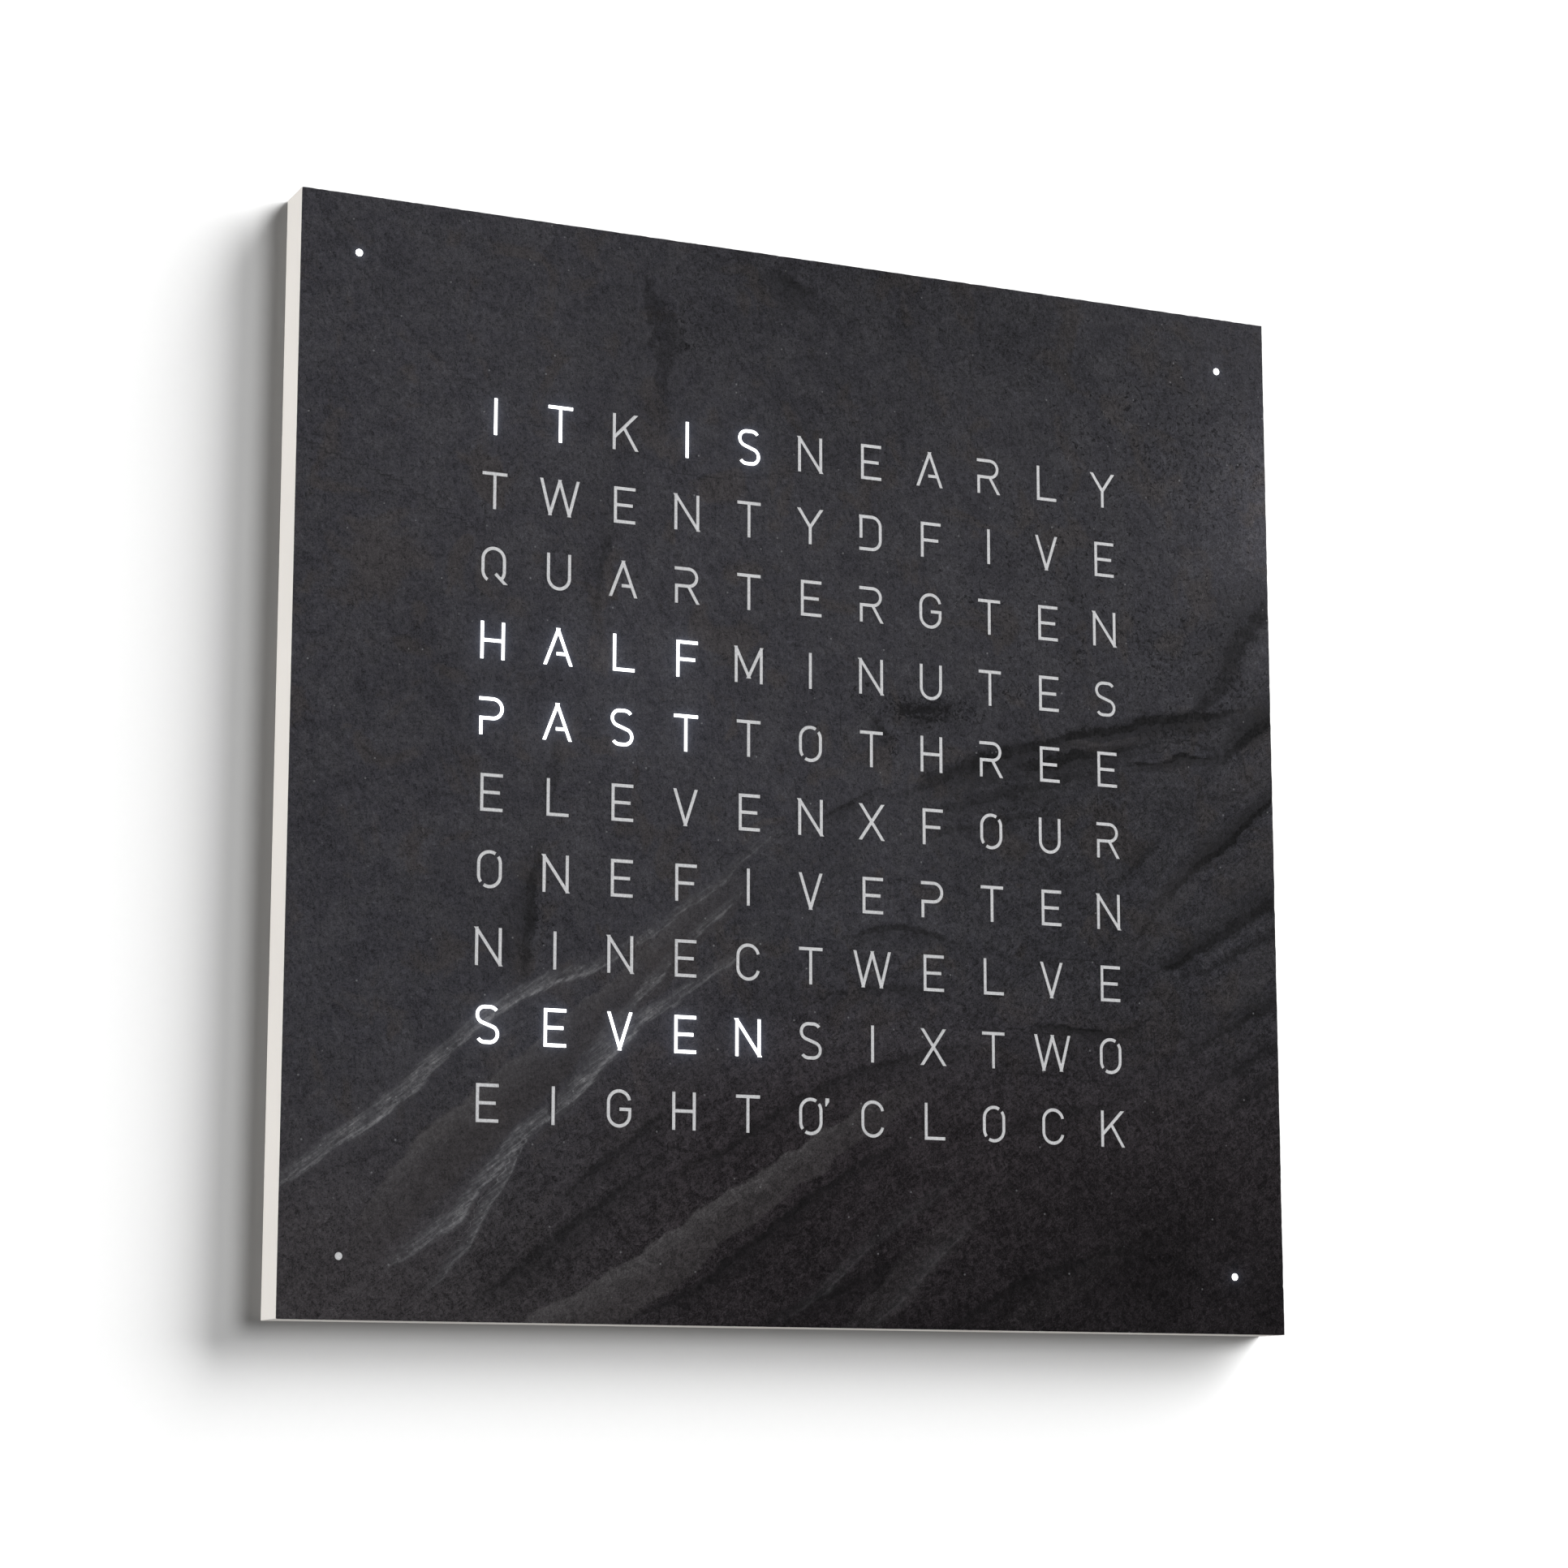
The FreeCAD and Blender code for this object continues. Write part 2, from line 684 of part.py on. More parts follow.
pads = []
for i, k in CORNERS:
    x, z = dim("pad_spread") * i, dim("pad_spread") * k
    panel_tools.append(rod("y", x, -dim("pad_thick"), z, dim("pad_radius") + 0.1,
                           dim("pad_thick") + 1))
    pads.append(rod("y", x, -dim("pad_thick"), z, dim("pad_radius"), dim("pad_thick")))
node("wall_pads", group(pads, "rubber_pads"))

gx, gz = -dim("grommet_across"), -dim("grommet_drop")
panel_tools.append(rod("y", gx, panel_front - 1, gz, dim("grommet_neck"), through))
grommet_sketchless = fuse([
    rod("y", gx, panel_front - dim("grommet_rim_thick"), gz, dim("grommet_rim"),
        dim("grommet_rim_thick")),
    rod("y", gx, panel_front, gz, dim("grommet_neck"), dim("panel_thick"))])
node("cable_grommet", cut(grommet_sketchless, [
    rod("y", gx, panel_front - dim("grommet_rim_thick") - 1, gz, dim("grommet_bore"),
        dim("grommet_rim_thick") + dim("panel_thick") + 2)], "lead_grommet"))

node("back_panel", cut(panel, panel_tools, "rear_sheet"))

screws = []
for x, z in ALL_SPOTS:
    length = dim("panel_screw_length")
    body = fuse([
        rod("y", x, -length, z, dim("panel_screw_radius"), length - 0.2),
        cone("y", x, -dim("panel_screw_sink"), z, dim("panel_screw_radius"),
             dim("panel_screw_head"), dim("panel_screw_sink") - 0.1)])
    screws.append(cut(body, [box(x - 2.0, x + 2.0, -0.6, 1.0, z - 0.35, z + 0.35),
                             box(x - 0.35, x + 0.35, -0.6, 1.0, z - 2.0, z + 2.0)]))
node("panel_screws", group(screws, "countersunk_screws"))

# --------------------------------------------------------------------------
# Light cells: board, LEDs and grid for the letters; a small board and a tube
# for each minute dot

board_half = dim("board_size") / 2
edge_spot = board_half - 5
BOARD_SPOTS = [(edge_spot * i, edge_spot * k) for i in (-1, 0, 1) for k in (-1, 0, 1)
               if i or k]
hole = dim("board_hole_radius")


def board(x0, x1, z0, z1, spots, name):
    blank = box(x0, x1, board_front, board_back, z0, z1)
    return cut(blank, [rod("y", x, board_front - 1, z, hole, dim("board_thick") + 2)
                       for x, z in spots], name)


node("led_board", board(-board_half, board_half, -board_half, board_half,
                        BOARD_SPOTS, "letter_board"))


def led(x, z):
    """Square LED with a round lens well."""
    side_length = dim("led_size").value
    height = dim("led_height").value
    y = board_front.value
    body = Part.makeBox(side_length, height, side_length,
                        Vector(x - side_length / 2, y - height, z - side_length / 2))
    well = Part.makeCylinder(dim("lens_radius").value, dim("lens_depth").value + 1,
                             Vector(x, y - height - 1, z), Vector(0, 1, 0))
    return body.cut(well)


node("letter_leds", feature(Part.makeCompound(
    [led(x.value, z.value) for z in cell_z for x in cell_x]), "letter_lamps"))
dot = dim("dot_offset")
node("minute_leds", feature(Part.makeCompound(
    [led(dot.value * i, dot.value * k) for i, k in CORNERS]), "minute_lamps"))

grid_x = dim("column_pitch") * COLUMNS / 2 + dim("cell_wall") / 2
grid_z = dim("row_pitch") * ROWS / 2 + dim("cell_wall") / 2
grid_blank = box(-grid_x, grid_x, cell_top, board_front, -grid_z, grid_z)
opening_x = (dim("column_pitch") - dim("cell_wall")).value
opening_z = (dim("row_pitch") - dim("cell_wall")).value
cells = []
for x in cell_x:
    for z in cell_z:
        cells.append(Part.makeBox(opening_x, 12.0, opening_z,
                                  Vector(x.value - opening_x / 2, cell_top.value - 1.5,
                                         z.value - opening_z / 2)))
cell_cutter = feature(Part.makeCompound(cells), "cell_cutter")
node("baffle_grid", cut(grid_blank, [cell_cutter], "light_grid"))

corner_boards = []
tubes = []
CORNER_SPOTS = []
corner_half = dim("corner_board_size") / 2
for i, k in CORNERS:
    cx, cz = dot * i, dot * k
    spots = [(cx - 8.0 * i, cz - 8.0 * k), (cx + 6.5 * i, cz - 8.0 * k)]
    CORNER_SPOTS.extend(spots)
    corner_boards.append(board(cx - corner_half, cx + corner_half,
                               cz - corner_half, cz + corner_half, spots, None))
    depth = board_front - cell_top
    tubes.append(cut(rod("y", cx, cell_top, cz, dim("tube_outer_radius"), depth),
                     [rod("y", cx, cell_top - 1, cz, dim("tube_inner_radius"), depth + 2)]))
node("corner_boards", group(corner_boards, "minute_boards"))
node("light_tubes", group(tubes, "minute_tubes"))

# --------------------------------------------------------------------------
# Controller along the lower edge

CONTROL_SPOTS = [(-64.0, -176.5), (64.0, -176.5), (-64.0, -203.5), (64.0, -203.5)]
node("controller_board", board(as_size(-70.0), as_size(70.0), as_size(-208.0),
                               as_size(-172.0), CONTROL_SPOTS, "control_board"))


def chip(x, z, width, height, thick, legs_along, legs, pitch, name=None):
    """Flat package with gull-wing legs on two or four sides."""
    y = board_front
    parts = [box(x - width / 2, x + width / 2, y - thick, y - 0.15, z - height / 2, z + height / 2)]
    for n in range(legs):
        offset = (n - (legs - 1) / 2.0) * pitch
        if "z" in legs_along:
            parts.append(box(x + offset - pitch * 0.2, x + offset + pitch * 0.2, y - 0.5, y,
                             z - height / 2 - 1.0, z + height / 2 + 1.0))
        if "x" in legs_along:
            parts.append(box(x - width / 2 - 1.0, x + width / 2 + 1.0, y - 0.5, y,
                             z + offset - pitch * 0.2, z + offset + pitch * 0.2))
    return fuse(parts, name)


node("microcontroller", chip(-18.0, -190.0, 10.0, 10.0, 1.5, "xz", 8, 1.1, "control_chip"))
node("driver_chips", group([chip(x, -193.0, 5.5, 9.0, 1.7, "x", 7, 1.2)
                            for x in (0.0, 11.0, 22.0, 33.0)], "led_drivers"))

capacitors = []
for z in (-181.0, -199.0):
    can = fuse([rod("y", -44.0, board_front - 7.5, z, 4.0, 6.6),
                rod("y", -44.0, board_front - 1.1, z, 3.6, 0.5),
                box(-48.0, -40.0, board_front - 0.9, board_front, z - 4.0, z + 4.0)])
    capacitors.append(cut(can, [box(-47.0, -41.0, board_front - 8.0, board_front - 7.2,
                                    z - 0.2, z + 0.2)]))
node("capacitors", group(capacitors, "buffer_capacitors"))
node("voltage_regulator", fuse([
    box(-35.0, -28.0, board_front - 2.4, board_front - 0.1, -194.0, -187.0),
    box(-34.5, -28.5, board_front - 1.4, board_front, -197.0, -187.0),
    box(-33.9, -32.9, board_front - 0.6, board_front, -187.0, -184.0),
    box(-30.1, -29.1, board_front - 0.6, board_front, -187.0, -184.0)], "regulator"))

terminal = box(-67.0, -57.0, board_front - 8.4, board_front, -196.0, -184.0)
terminal_tools = []
terminal_screws = []
for z in (-193.0, -187.0):
    terminal_tools.append(box(-68.0, -60.0, board_front - 5.6, board_front - 1.6,
                              z - 2.0, z + 2.0))
    terminal_tools.append(rod("y", -61.5, board_front - 9.0, z, 2.1, 2.6))
    head = rod("y", -61.5, board_front - 8.0, z, 2.0, 1.6)
    terminal_screws.append(cut(head, [box(-63.6, -59.4, board_front - 8.6, board_front - 7.4,
                                          z - 0.3, z + 0.3)]))
node("power_terminal", cut(terminal, terminal_tools, "supply_terminal"))
node("terminal_screws", group(terminal_screws, "clamp_screws"))

holder_x, holder_z = 51.0, -190.0
holder = fuse([
    rod("y", holder_x, board_front - 1.4, holder_z, 11.6, 1.4),
    box(holder_x - 11.6, holder_x + 11.6, board_front - 4.6, board_front,
        holder_z - 4.0, holder_z + 4.0)])
node("cell_holder", cut(holder, [
    rod("y", holder_x, board_front - 6.0, holder_z, 10.1, 4.6)], "cell_socket"))
node("coin_cell", fuse([
    rod("y", holder_x, board_front - 3.0, holder_z, 10.0, 1.6),
    rod("y", holder_x, board_front - 4.6, holder_z, 9.4, 1.6)], "backup_cell"))

link_x = 14.0
node("ribbon_connectors", group([
    box(link_x - 10.0, link_x + 10.0, board_front - 4.6, board_front, -179.0, -173.4),
    box(link_x - 10.0, link_x + 10.0, board_front - 4.6, board_front, -163.2, -157.6)],
    "ribbon_sockets"))
node("ribbon_cable", fuse([
    box(link_x - 8.5, link_x + 8.5, board_front - 6.4, board_front - 4.6, -176.7, -175.7),
    box(link_x - 8.5, link_x + 8.5, board_front - 7.4, board_front - 6.4, -176.7, -159.9),
    box(link_x - 8.5, link_x + 8.5, board_front - 6.4, board_front - 4.6, -160.9, -159.9)],
    "board_ribbon"))

# --------------------------------------------------------------------------
# Radio time receiver along the upper edge

RECEIVER_SPOTS = [(-25.0, 180.5), (25.0, 180.5)]
node("receiver_board", board(as_size(-30.0), as_size(30.0), as_size(176.0), as_size(209.0),
                             RECEIVER_SPOTS, "radio_board"))
node("receiver_chip", chip(4.0, 185.0, 8.0, 5.0, 1.6, "z", 6, 1.2, "radio_chip"))
rod_y, rod_z = board_front - 4.4, 201.0
node("ferrite_rod", rod("x", -29.0, rod_y, rod_z, 3.0, 58.0, "antenna_core"))
node("antenna_coil", cut(rod("x", -9.0, rod_y, rod_z, 3.9, 18.0),
                         [rod("x", -10.0, rod_y, rod_z, 3.0, 20.0)], "antenna_winding"))
clips = []
for x in (-24.0, 20.0):
    clips.append(cut(box(x, x + 4.0, rod_y - 1.2, board_front, rod_z - 4.6, rod_z + 4.6),
                     [rod("x", x - 1.0, rod_y, rod_z, 3.1, 6.0)]))
node("rod_clips", group(clips, "antenna_clips"))

# --------------------------------------------------------------------------
# Standoffs and screws of all boards

POSTS = BOARD_SPOTS + CORNER_SPOTS + CONTROL_SPOTS + RECEIVER_SPOTS
standoffs = []
board_screws = []
for x, z in POSTS:
    tall = panel_front - board_back
    standoffs.append(cut(hexagon(x, board_back, z, dim("standoff_radius"), tall),
                         [rod("y", x, board_back - 1, z, dim("standoff_bore"), tall)]))
    head = fuse([
        rod("y", x, board_front - dim("screw_head_height"), z, dim("screw_head_radius"),
            dim("screw_head_height")),
        rod("y", x, board_front, z, dim("screw_radius"), dim("screw_length"))])
    y = board_front - dim("screw_head_height")
    board_screws.append(cut(head, [
        box(x - 1.6, x + 1.6, y - 1, y + 0.9, z - 0.3, z + 0.3),
        box(x - 0.3, x + 0.3, y - 1, y + 0.9, z - 1.6, z + 1.6)]))
node("board_standoffs", group(standoffs, "spacers"))
node("board_screws", group(board_screws, "pan_screws"))

# --------------------------------------------------------------------------
# Magnets that hold the cover's steel carrier

posts = []
magnets = []
flange_front = -(dim("panel_thick") + dim("flange_thick"))
reach = dim("flange_width")
along = dim("post_length") / 2
for turn in SIDES.values():
    for k in (-1, 1):
        at = dim("post_spread") * k
        cx, cz = turn(inner - reach / 2, at)
        x0, z0 = turn(inner - reach, at - along)
        x1, z1 = turn(inner, at + along)
        low_x, high_x = (x0, x1) if x0.value < x1.value else (x1, x0)
        low_z, high_z = (z0, z1) if z0.value < z1.value else (z1, z0)
        blank = box(low_x, high_x, cell_top, flange_front, low_z, high_z)
        posts.append(cut(blank, [rod("y", cx, cell_top - 1, cz, dim("magnet_pocket"),
                                     dim("magnet_thick") + 1)]))
        magnets.append(rod("y", cx, cell_top, cz, dim("magnet_radius"), dim("magnet_thick")))
node("magnet_posts", group(posts, "magnet_seats"))
node("holding_magnets", group(magnets, "disc_magnets"))

# --------------------------------------------------------------------------
# Setting buttons in the right-hand side, with the switches behind them

face_x = dim("switch_face")
board_x = face_x - dim("switch_depth")
switches = []
for z in button_z:
    size = dim("switch_size") / 2
    blank = box(board_x, face_x, button_y - size, button_y + size, z - size, z + size)
    switches.append(cut(blank, [rod("x", face_x - 2.4, button_y, z, dim("plunger_bore"), 4.0)]))
node("button_switches", group(switches, "tact_switches"))
node("button_board", box(board_x - dim("board_thick"), board_x, as_size(-16.0), as_size(-5.0),
                         -29.0, 29.0, "switch_board"))
bracket_x = board_x - dim("board_thick")
node("button_bracket", fuse([
    box(bracket_x - 1.2, bracket_x, as_size(-15.0), panel_front, -27.0, 27.0),
    box(bracket_x - 9.0, bracket_x, panel_front - 1.2, panel_front, -27.0, 27.0)],
    "switch_bracket"))

plunger_out = face_x - 1.4 + dim("plunger_length")
for name, z in zip(("mode", "hours", "minutes", "brightness"), button_z):
    shaft = rod("x", plunger_out, button_y, z, dim("button_radius"), half - plunger_out)
    collar = rod("x", inner - 0.05 - dim("button_collar_thick"), button_y, z,
                 dim("button_collar"), dim("button_collar_thick"))
    node("button_" + name, fuse([shaft, collar], "key_" + name))
    node("plunger_" + name, rod("x", face_x - 1.4, button_y, z, dim("plunger_radius"),
                                dim("plunger_length"), "stem_" + name))


# --------------------------------------------------------------------------
# Leads between the boards: straight runs joined by tangent arcs

LEAD_RADIUS = 0.9
LEAD_BEND = 2.6


def lead(points):
    points = [Vector(*p) for p in points]
    edges = []
    last = points[0]
    for a, b, c in zip(points, points[1:], points[2:]):
        u = Vector(a - b).normalize()
        v = Vector(c - b).normalize()
        turn_angle = u.getAngle(v)
        bend = min(LEAD_BEND, 0.45 * min((a - b).Length, (c - b).Length) * math.tan(turn_angle / 2))
        step = bend / math.tan(turn_angle / 2)
        p, q = b + u * step, b + v * step
        toward = Vector(u + v).normalize()
        middle = b + toward * (bend / math.sin(turn_angle / 2) - bend)
        edges.append(Part.LineSegment(last, p).toShape())
        edges.append(Part.Arc(p, middle, q).toShape())
        last = q
    edges.append(Part.LineSegment(last, points[-1]).toShape())
    path = Part.Wire(edges)
    ring = Part.Wire([Part.Circle(points[0], points[1] - points[0], LEAD_RADIUS).toShape()])
    tube = path.makePipeShell([ring], True, False)
    expected = path.Length * math.pi * LEAD_RADIUS ** 2
    assert abs(tube.Volume - expected) < 0.03 * expected
    return tube


leads = []
y0 = board_front.value
for i, k in CORNERS:
    leads.append(lead([(148.0 * i, y0, 161.0 * k), (148.0 * i, y0 - 5.0, 161.0 * k),
                       (152.0 * i, y0 - 5.0, 176.0 * k), (172.0 * i, y0 - 4.5, 192.0 * k),
                       (192.0 * i, y0 - 5.0, 205.0 * k), (192.0 * i, y0, 205.0 * k)]))
leads.append(lead([(-16.0, y0, 179.0), (-16.0, y0 - 4.0, 179.0),
                   (-18.0, y0 - 4.0, 161.0), (-18.0, y0, 161.0)]))
leads.append(lead([(161.0, y0, 14.0), (161.0, y0 - 4.0, 14.0),
                   (179.0, y0 - 4.0, 14.0), (191.0, -10.0, 14.0),
                   (bracket_x.value - 1.2, -10.0, 14.0)]))
node("signal_leads", feature(Part.makeCompound(leads), "wiring"))

# --------------------------------------------------------------------------
# Check and write

doc.recompute()
problems = []
for thing in doc.Objects:
    bad = [s for s in thing.State if s in ("Invalid", "Error")]
    if bad:
        problems.append("%s: %s" % (thing.Name, bad))
for name, thing in NODES.items():
    shape = thing.Shape
    if shape.isNull() or not shape.isValid() or not shape.Solids:
        problems.append("%s: shape is not usable" % name)
if problems:
    raise SystemExit("\n".join(problems))

os.makedirs("parts", exist_ok=True)
for name, thing in NODES.items():
    thing.Shape.exportStep(os.path.join("parts", name + ".step"))
    bounds = thing.Shape.BoundBox
    print("%-20s solids %3d  volume %10.1f  x %7.2f %7.2f  y %6.2f %6.2f  z %7.2f %7.2f" % (
        name, len(thing.Shape.Solids), thing.Shape.Volume, bounds.XMin, bounds.XMax,
        bounds.YMin, bounds.YMax, bounds.ZMin, bounds.ZMax))
print(len(NODES), "pieces")
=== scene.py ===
import json
import math

import bmesh
import bpy
import numpy as np
from mathutils import Matrix, Vector, geometry


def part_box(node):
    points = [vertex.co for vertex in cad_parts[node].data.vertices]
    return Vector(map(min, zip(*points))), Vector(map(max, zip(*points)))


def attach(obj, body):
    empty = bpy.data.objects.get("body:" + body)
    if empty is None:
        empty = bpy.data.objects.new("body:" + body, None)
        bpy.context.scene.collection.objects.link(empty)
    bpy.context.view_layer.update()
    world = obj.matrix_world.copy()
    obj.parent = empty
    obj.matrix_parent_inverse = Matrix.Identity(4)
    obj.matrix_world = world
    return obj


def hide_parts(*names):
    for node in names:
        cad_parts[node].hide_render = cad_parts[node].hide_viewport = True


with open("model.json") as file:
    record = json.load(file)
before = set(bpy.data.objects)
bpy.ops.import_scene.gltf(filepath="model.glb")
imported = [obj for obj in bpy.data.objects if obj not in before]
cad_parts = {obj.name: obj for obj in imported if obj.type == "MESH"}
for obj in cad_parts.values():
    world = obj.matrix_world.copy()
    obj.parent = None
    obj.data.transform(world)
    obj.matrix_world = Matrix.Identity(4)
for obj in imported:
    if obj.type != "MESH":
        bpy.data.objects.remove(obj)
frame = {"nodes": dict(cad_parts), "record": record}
NODES = frame["nodes"]
SLOT_OF = {s["node"]: s["material_slot"] for s in frame["record"]["subparts"]}
BODY_OF = {n: b for b, ns in frame["record"]["behaviour"]["bodies"].items() for n in ns}


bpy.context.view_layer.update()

# Letter grid, in millimetres, seen from the front: column 0 is on the left, row 0 at the top
PITCH_X, PITCH_Z = 28.25, 31.0
DOT = 200.7
# Cells that are lit: (first column, last column, first row, last row)
LIT = [(0, 1, 0, 0), (3, 4, 0, 0), (0, 3, 3, 4), (0, 4, 8, 8)]
LIT_DOTS = [(-1, 1), (1, 1), (1, -1)]


# ---------------------------------------------------------------- shader graphs
class Graph:
    """A material made of nodes. Every method returns an output socket."""

    def __init__(self, name):
        self.mat = bpy.data.materials.new(name)
        self.mat.use_nodes = True
        self.tree = self.mat.node_tree
        self.tree.nodes.clear()
        self.out = self.new("ShaderNodeOutputMaterial")
        self.bsdf = self.new("ShaderNodeBsdfPrincipled")
        self.tree.links.new(self.bsdf.outputs[0], self.out.inputs["Surface"])
        self._co = None

    def new(self, kind, **props):
        n = self.tree.nodes.new(kind)
        for k, v in props.items():
            setattr(n, k, v)
        return n

    def put(self, socket, value):
        if value is None:
            return
        if isinstance(value, bpy.types.NodeSocket):
            self.tree.links.new(value, socket)
        elif isinstance(value, (tuple, list)) and len(value) == 3 and socket.type == "RGBA":
            socket.default_value = (*value, 1.0)
        else:
            socket.default_value = value

    def set(self, **values):
        names = {"color": "Base Color", "rough": "Roughness", "metal": "Metallic", "spec": "Specular IOR Level",
                 "normal": "Normal", "coat": "Coat Weight", "coat_rough": "Coat Roughness", "emit": "Emission Color",
                 "emit_power": "Emission Strength", "sheen": "Sheen Weight", "sheen_rough": "Sheen Roughness",
                 "subsurface": "Subsurface Weight", "ior": "IOR", "aniso": "Anisotropic", "aniso_rot": "Anisotropic Rotation",
                 "trans": "Transmission Weight"}
        for k, v in values.items():
            self.put(self.bsdf.inputs[names[k]], v)
        return self.mat

    def co(self):
        """Object coordinates in millimetres; the pieces' objects sit at the origin of the part."""
        if self._co is None:
            tc = self.new("ShaderNodeTexCoord")
            v = self.new("ShaderNodeVectorMath", operation="SCALE")
            self.tree.links.new(tc.outputs["Object"], v.inputs[0])
            v.inputs["Scale"].default_value = 1000.0
            self._co = v.outputs[0]
        return self._co

    def xyz(self, vec=None):
        s = self.new("ShaderNodeSeparateXYZ")
        self.put(s.inputs[0], vec or self.co())
        return s.outputs[0], s.outputs[1], s.outputs[2]

    def vec(self, x=0.0, y=0.0, z=0.0):
        c = self.new("ShaderNodeCombineXYZ")
        for s, v in zip(c.inputs, (x, y, z)):
            self.put(s, v)
        return c.outputs[0]

    def map(self, vec=None, scale=(1, 1, 1), rot=(0, 0, 0), loc=(0, 0, 0)):
        m = self.new("ShaderNodeMapping")
        self.put(m.inputs["Vector"], vec or self.co())
        m.inputs["Scale"].default_value = scale
        m.inputs["Rotation"].default_value = rot
        m.inputs["Location"].default_value = loc
        return m.outputs[0]

    def vadd(self, a, b):
        m = self.new("ShaderNodeVectorMath", operation="ADD")
        self.put(m.inputs[0], a)
        self.put(m.inputs[1], b)
        return m.outputs[0]

    def vscale(self, a, k):
        m = self.new("ShaderNodeVectorMath", operation="SCALE")
        self.put(m.inputs[0], a)
        self.put(m.inputs["Scale"], k)
        return m.outputs[0]

    def attr(self, name):
        a = self.new("ShaderNodeAttribute", attribute_name=name)
        return a.outputs["Fac"]

    def noise(self, vec=None, size=1.0, detail=3.0, rough=0.5, dist=0.0, kind="FBM", color=False):
        n = self.new("ShaderNodeTexNoise")
        n.noise_type = kind
        self.put(n.inputs["Vector"], vec or self.co())
        n.inputs["Scale"].default_value = 1.0 / size
        n.inputs["Detail"].default_value = detail
        n.inputs["Roughness"].default_value = rough
        n.inputs["Distortion"].default_value = dist
        return n.outputs["Color" if color else "Fac"]

    def voronoi(self, vec=None, size=1.0, feature="F1", out="Distance", rand=1.0, dims="3D"):
        n = self.new("ShaderNodeTexVoronoi", feature=feature, voronoi_dimensions=dims)
        self.put(n.inputs["Vector"], vec or self.co())
        n.inputs["Scale"].default_value = 1.0 / size
        if "Randomness" in n.inputs:
            n.inputs["Randomness"].default_value = rand
        return n.outputs[out]

    def m(self, op, a, b=None, c=None, clamp=False):
        n = self.new("ShaderNodeMath", operation=op)
        n.use_clamp = clamp
        self.put(n.inputs[0], a)
        self.put(n.inputs[1], b)
        self.put(n.inputs[2], c)
        return n.outputs[0]

    def rng(self, v, a, b, lo=0.0, hi=1.0, smooth=True):
        n = self.new("ShaderNodeMapRange")
        n.interpolation_type = "SMOOTHSTEP" if smooth else "LINEAR"
        n.clamp = True
        for k, x in (("Value", v), ("From Min", a), ("From Max", b), ("To Min", lo), ("To Max", hi)):
            self.put(n.inputs[k], x)
        return n.outputs["Result"]

    def ramp(self, fac, stops):
        n = self.new("ShaderNodeValToRGB")
        self.put(n.inputs[0], fac)
        el = n.color_ramp.elements
        while len(el) < len(stops):
            el.new(0.5)
        for e, (p, c) in zip(el, stops):
            e.position = p
            e.color = (*c, 1.0) if len(c) == 3 else c
        return n.outputs[0]

    def mix(self, fac, a, b, mode="MIX"):
        n = self.new("ShaderNodeMix", data_type="RGBA", blend_type=mode)
        self.put(n.inputs[0], fac)
        self.put(n.inputs[6], a)
        self.put(n.inputs[7], b)
        return n.outputs[2]

    def lerp(self, fac, a, b):
        n = self.new("ShaderNodeMix", data_type="FLOAT")
        self.put(n.inputs[0], fac)
        self.put(n.inputs[2], a)
        self.put(n.inputs[3], b)
        return n.outputs[0]

    def bump(self, height, mm=0.05, strength=1.0, normal=None):
        n = self.new("ShaderNodeBump")
        n.inputs["Strength"].default_value = strength
        n.inputs["Distance"].default_value = mm / 1000.0
        self.put(n.inputs["Height"], height)
        self.put(n.inputs["Normal"], normal)
        return n.outputs[0]

    def bevel(self, mm=0.25, samples=4):
        n = self.new("ShaderNodeBevel", samples=samples)
        n.inputs["Radius"].default_value = mm / 1000.0
        return n.outputs[0]

    def tint(self, color, by):
        """color times a number."""
        return self.mix(1.0, color, self.ramp(by, [(0.0, (0, 0, 0)), (1.0, (1, 1, 1))]), "MULTIPLY")


def smooth01(t):
    t = np.clip(t, 0.0, 1.0)
    return t * t * (3 - 2 * t)


# ---------------------------------------------------------------- noise for the relief
def lattice(ix, iz, seed):
    h = (ix.astype(np.int64) * 374761393 + iz.astype(np.int64) * 668265263 + seed * 2147483647) & 0xFFFFFFFF
    h = ((h ^ (h >> 13)) * 1274126177) & 0xFFFFFFFF
    return ((h ^ (h >> 16)) & 0xFFFFFF) / float(0xFFFFFF) * 2 * math.pi


def perlin(x, z, seed):
    x0, z0 = np.floor(x), np.floor(z)
    fx, fz = x - x0, z - z0
    ux, uz = fx * fx * fx * (fx * (fx * 6 - 15) + 10), fz * fz * fz * (fz * (fz * 6 - 15) + 10)
    total = 0
    for dx in (0, 1):
        for dz in (0, 1):
            a = lattice(x0 + dx, z0 + dz, seed)
            g = np.cos(a) * (fx - dx) + np.sin(a) * (fz - dz)
            total = total + g * (ux if dx else 1 - ux) * (uz if dz else 1 - uz)
    return total * 1.5


def fbm(x, z, size, octaves=4, seed=1, rough=0.5):
    total, amp, k = 0, 1.0, 1.0 / size
    for i in range(octaves):
        total = total + amp * perlin(x * k, z * k, seed + 17 * i)
        amp *= rough
        k *= 2.03
    return total


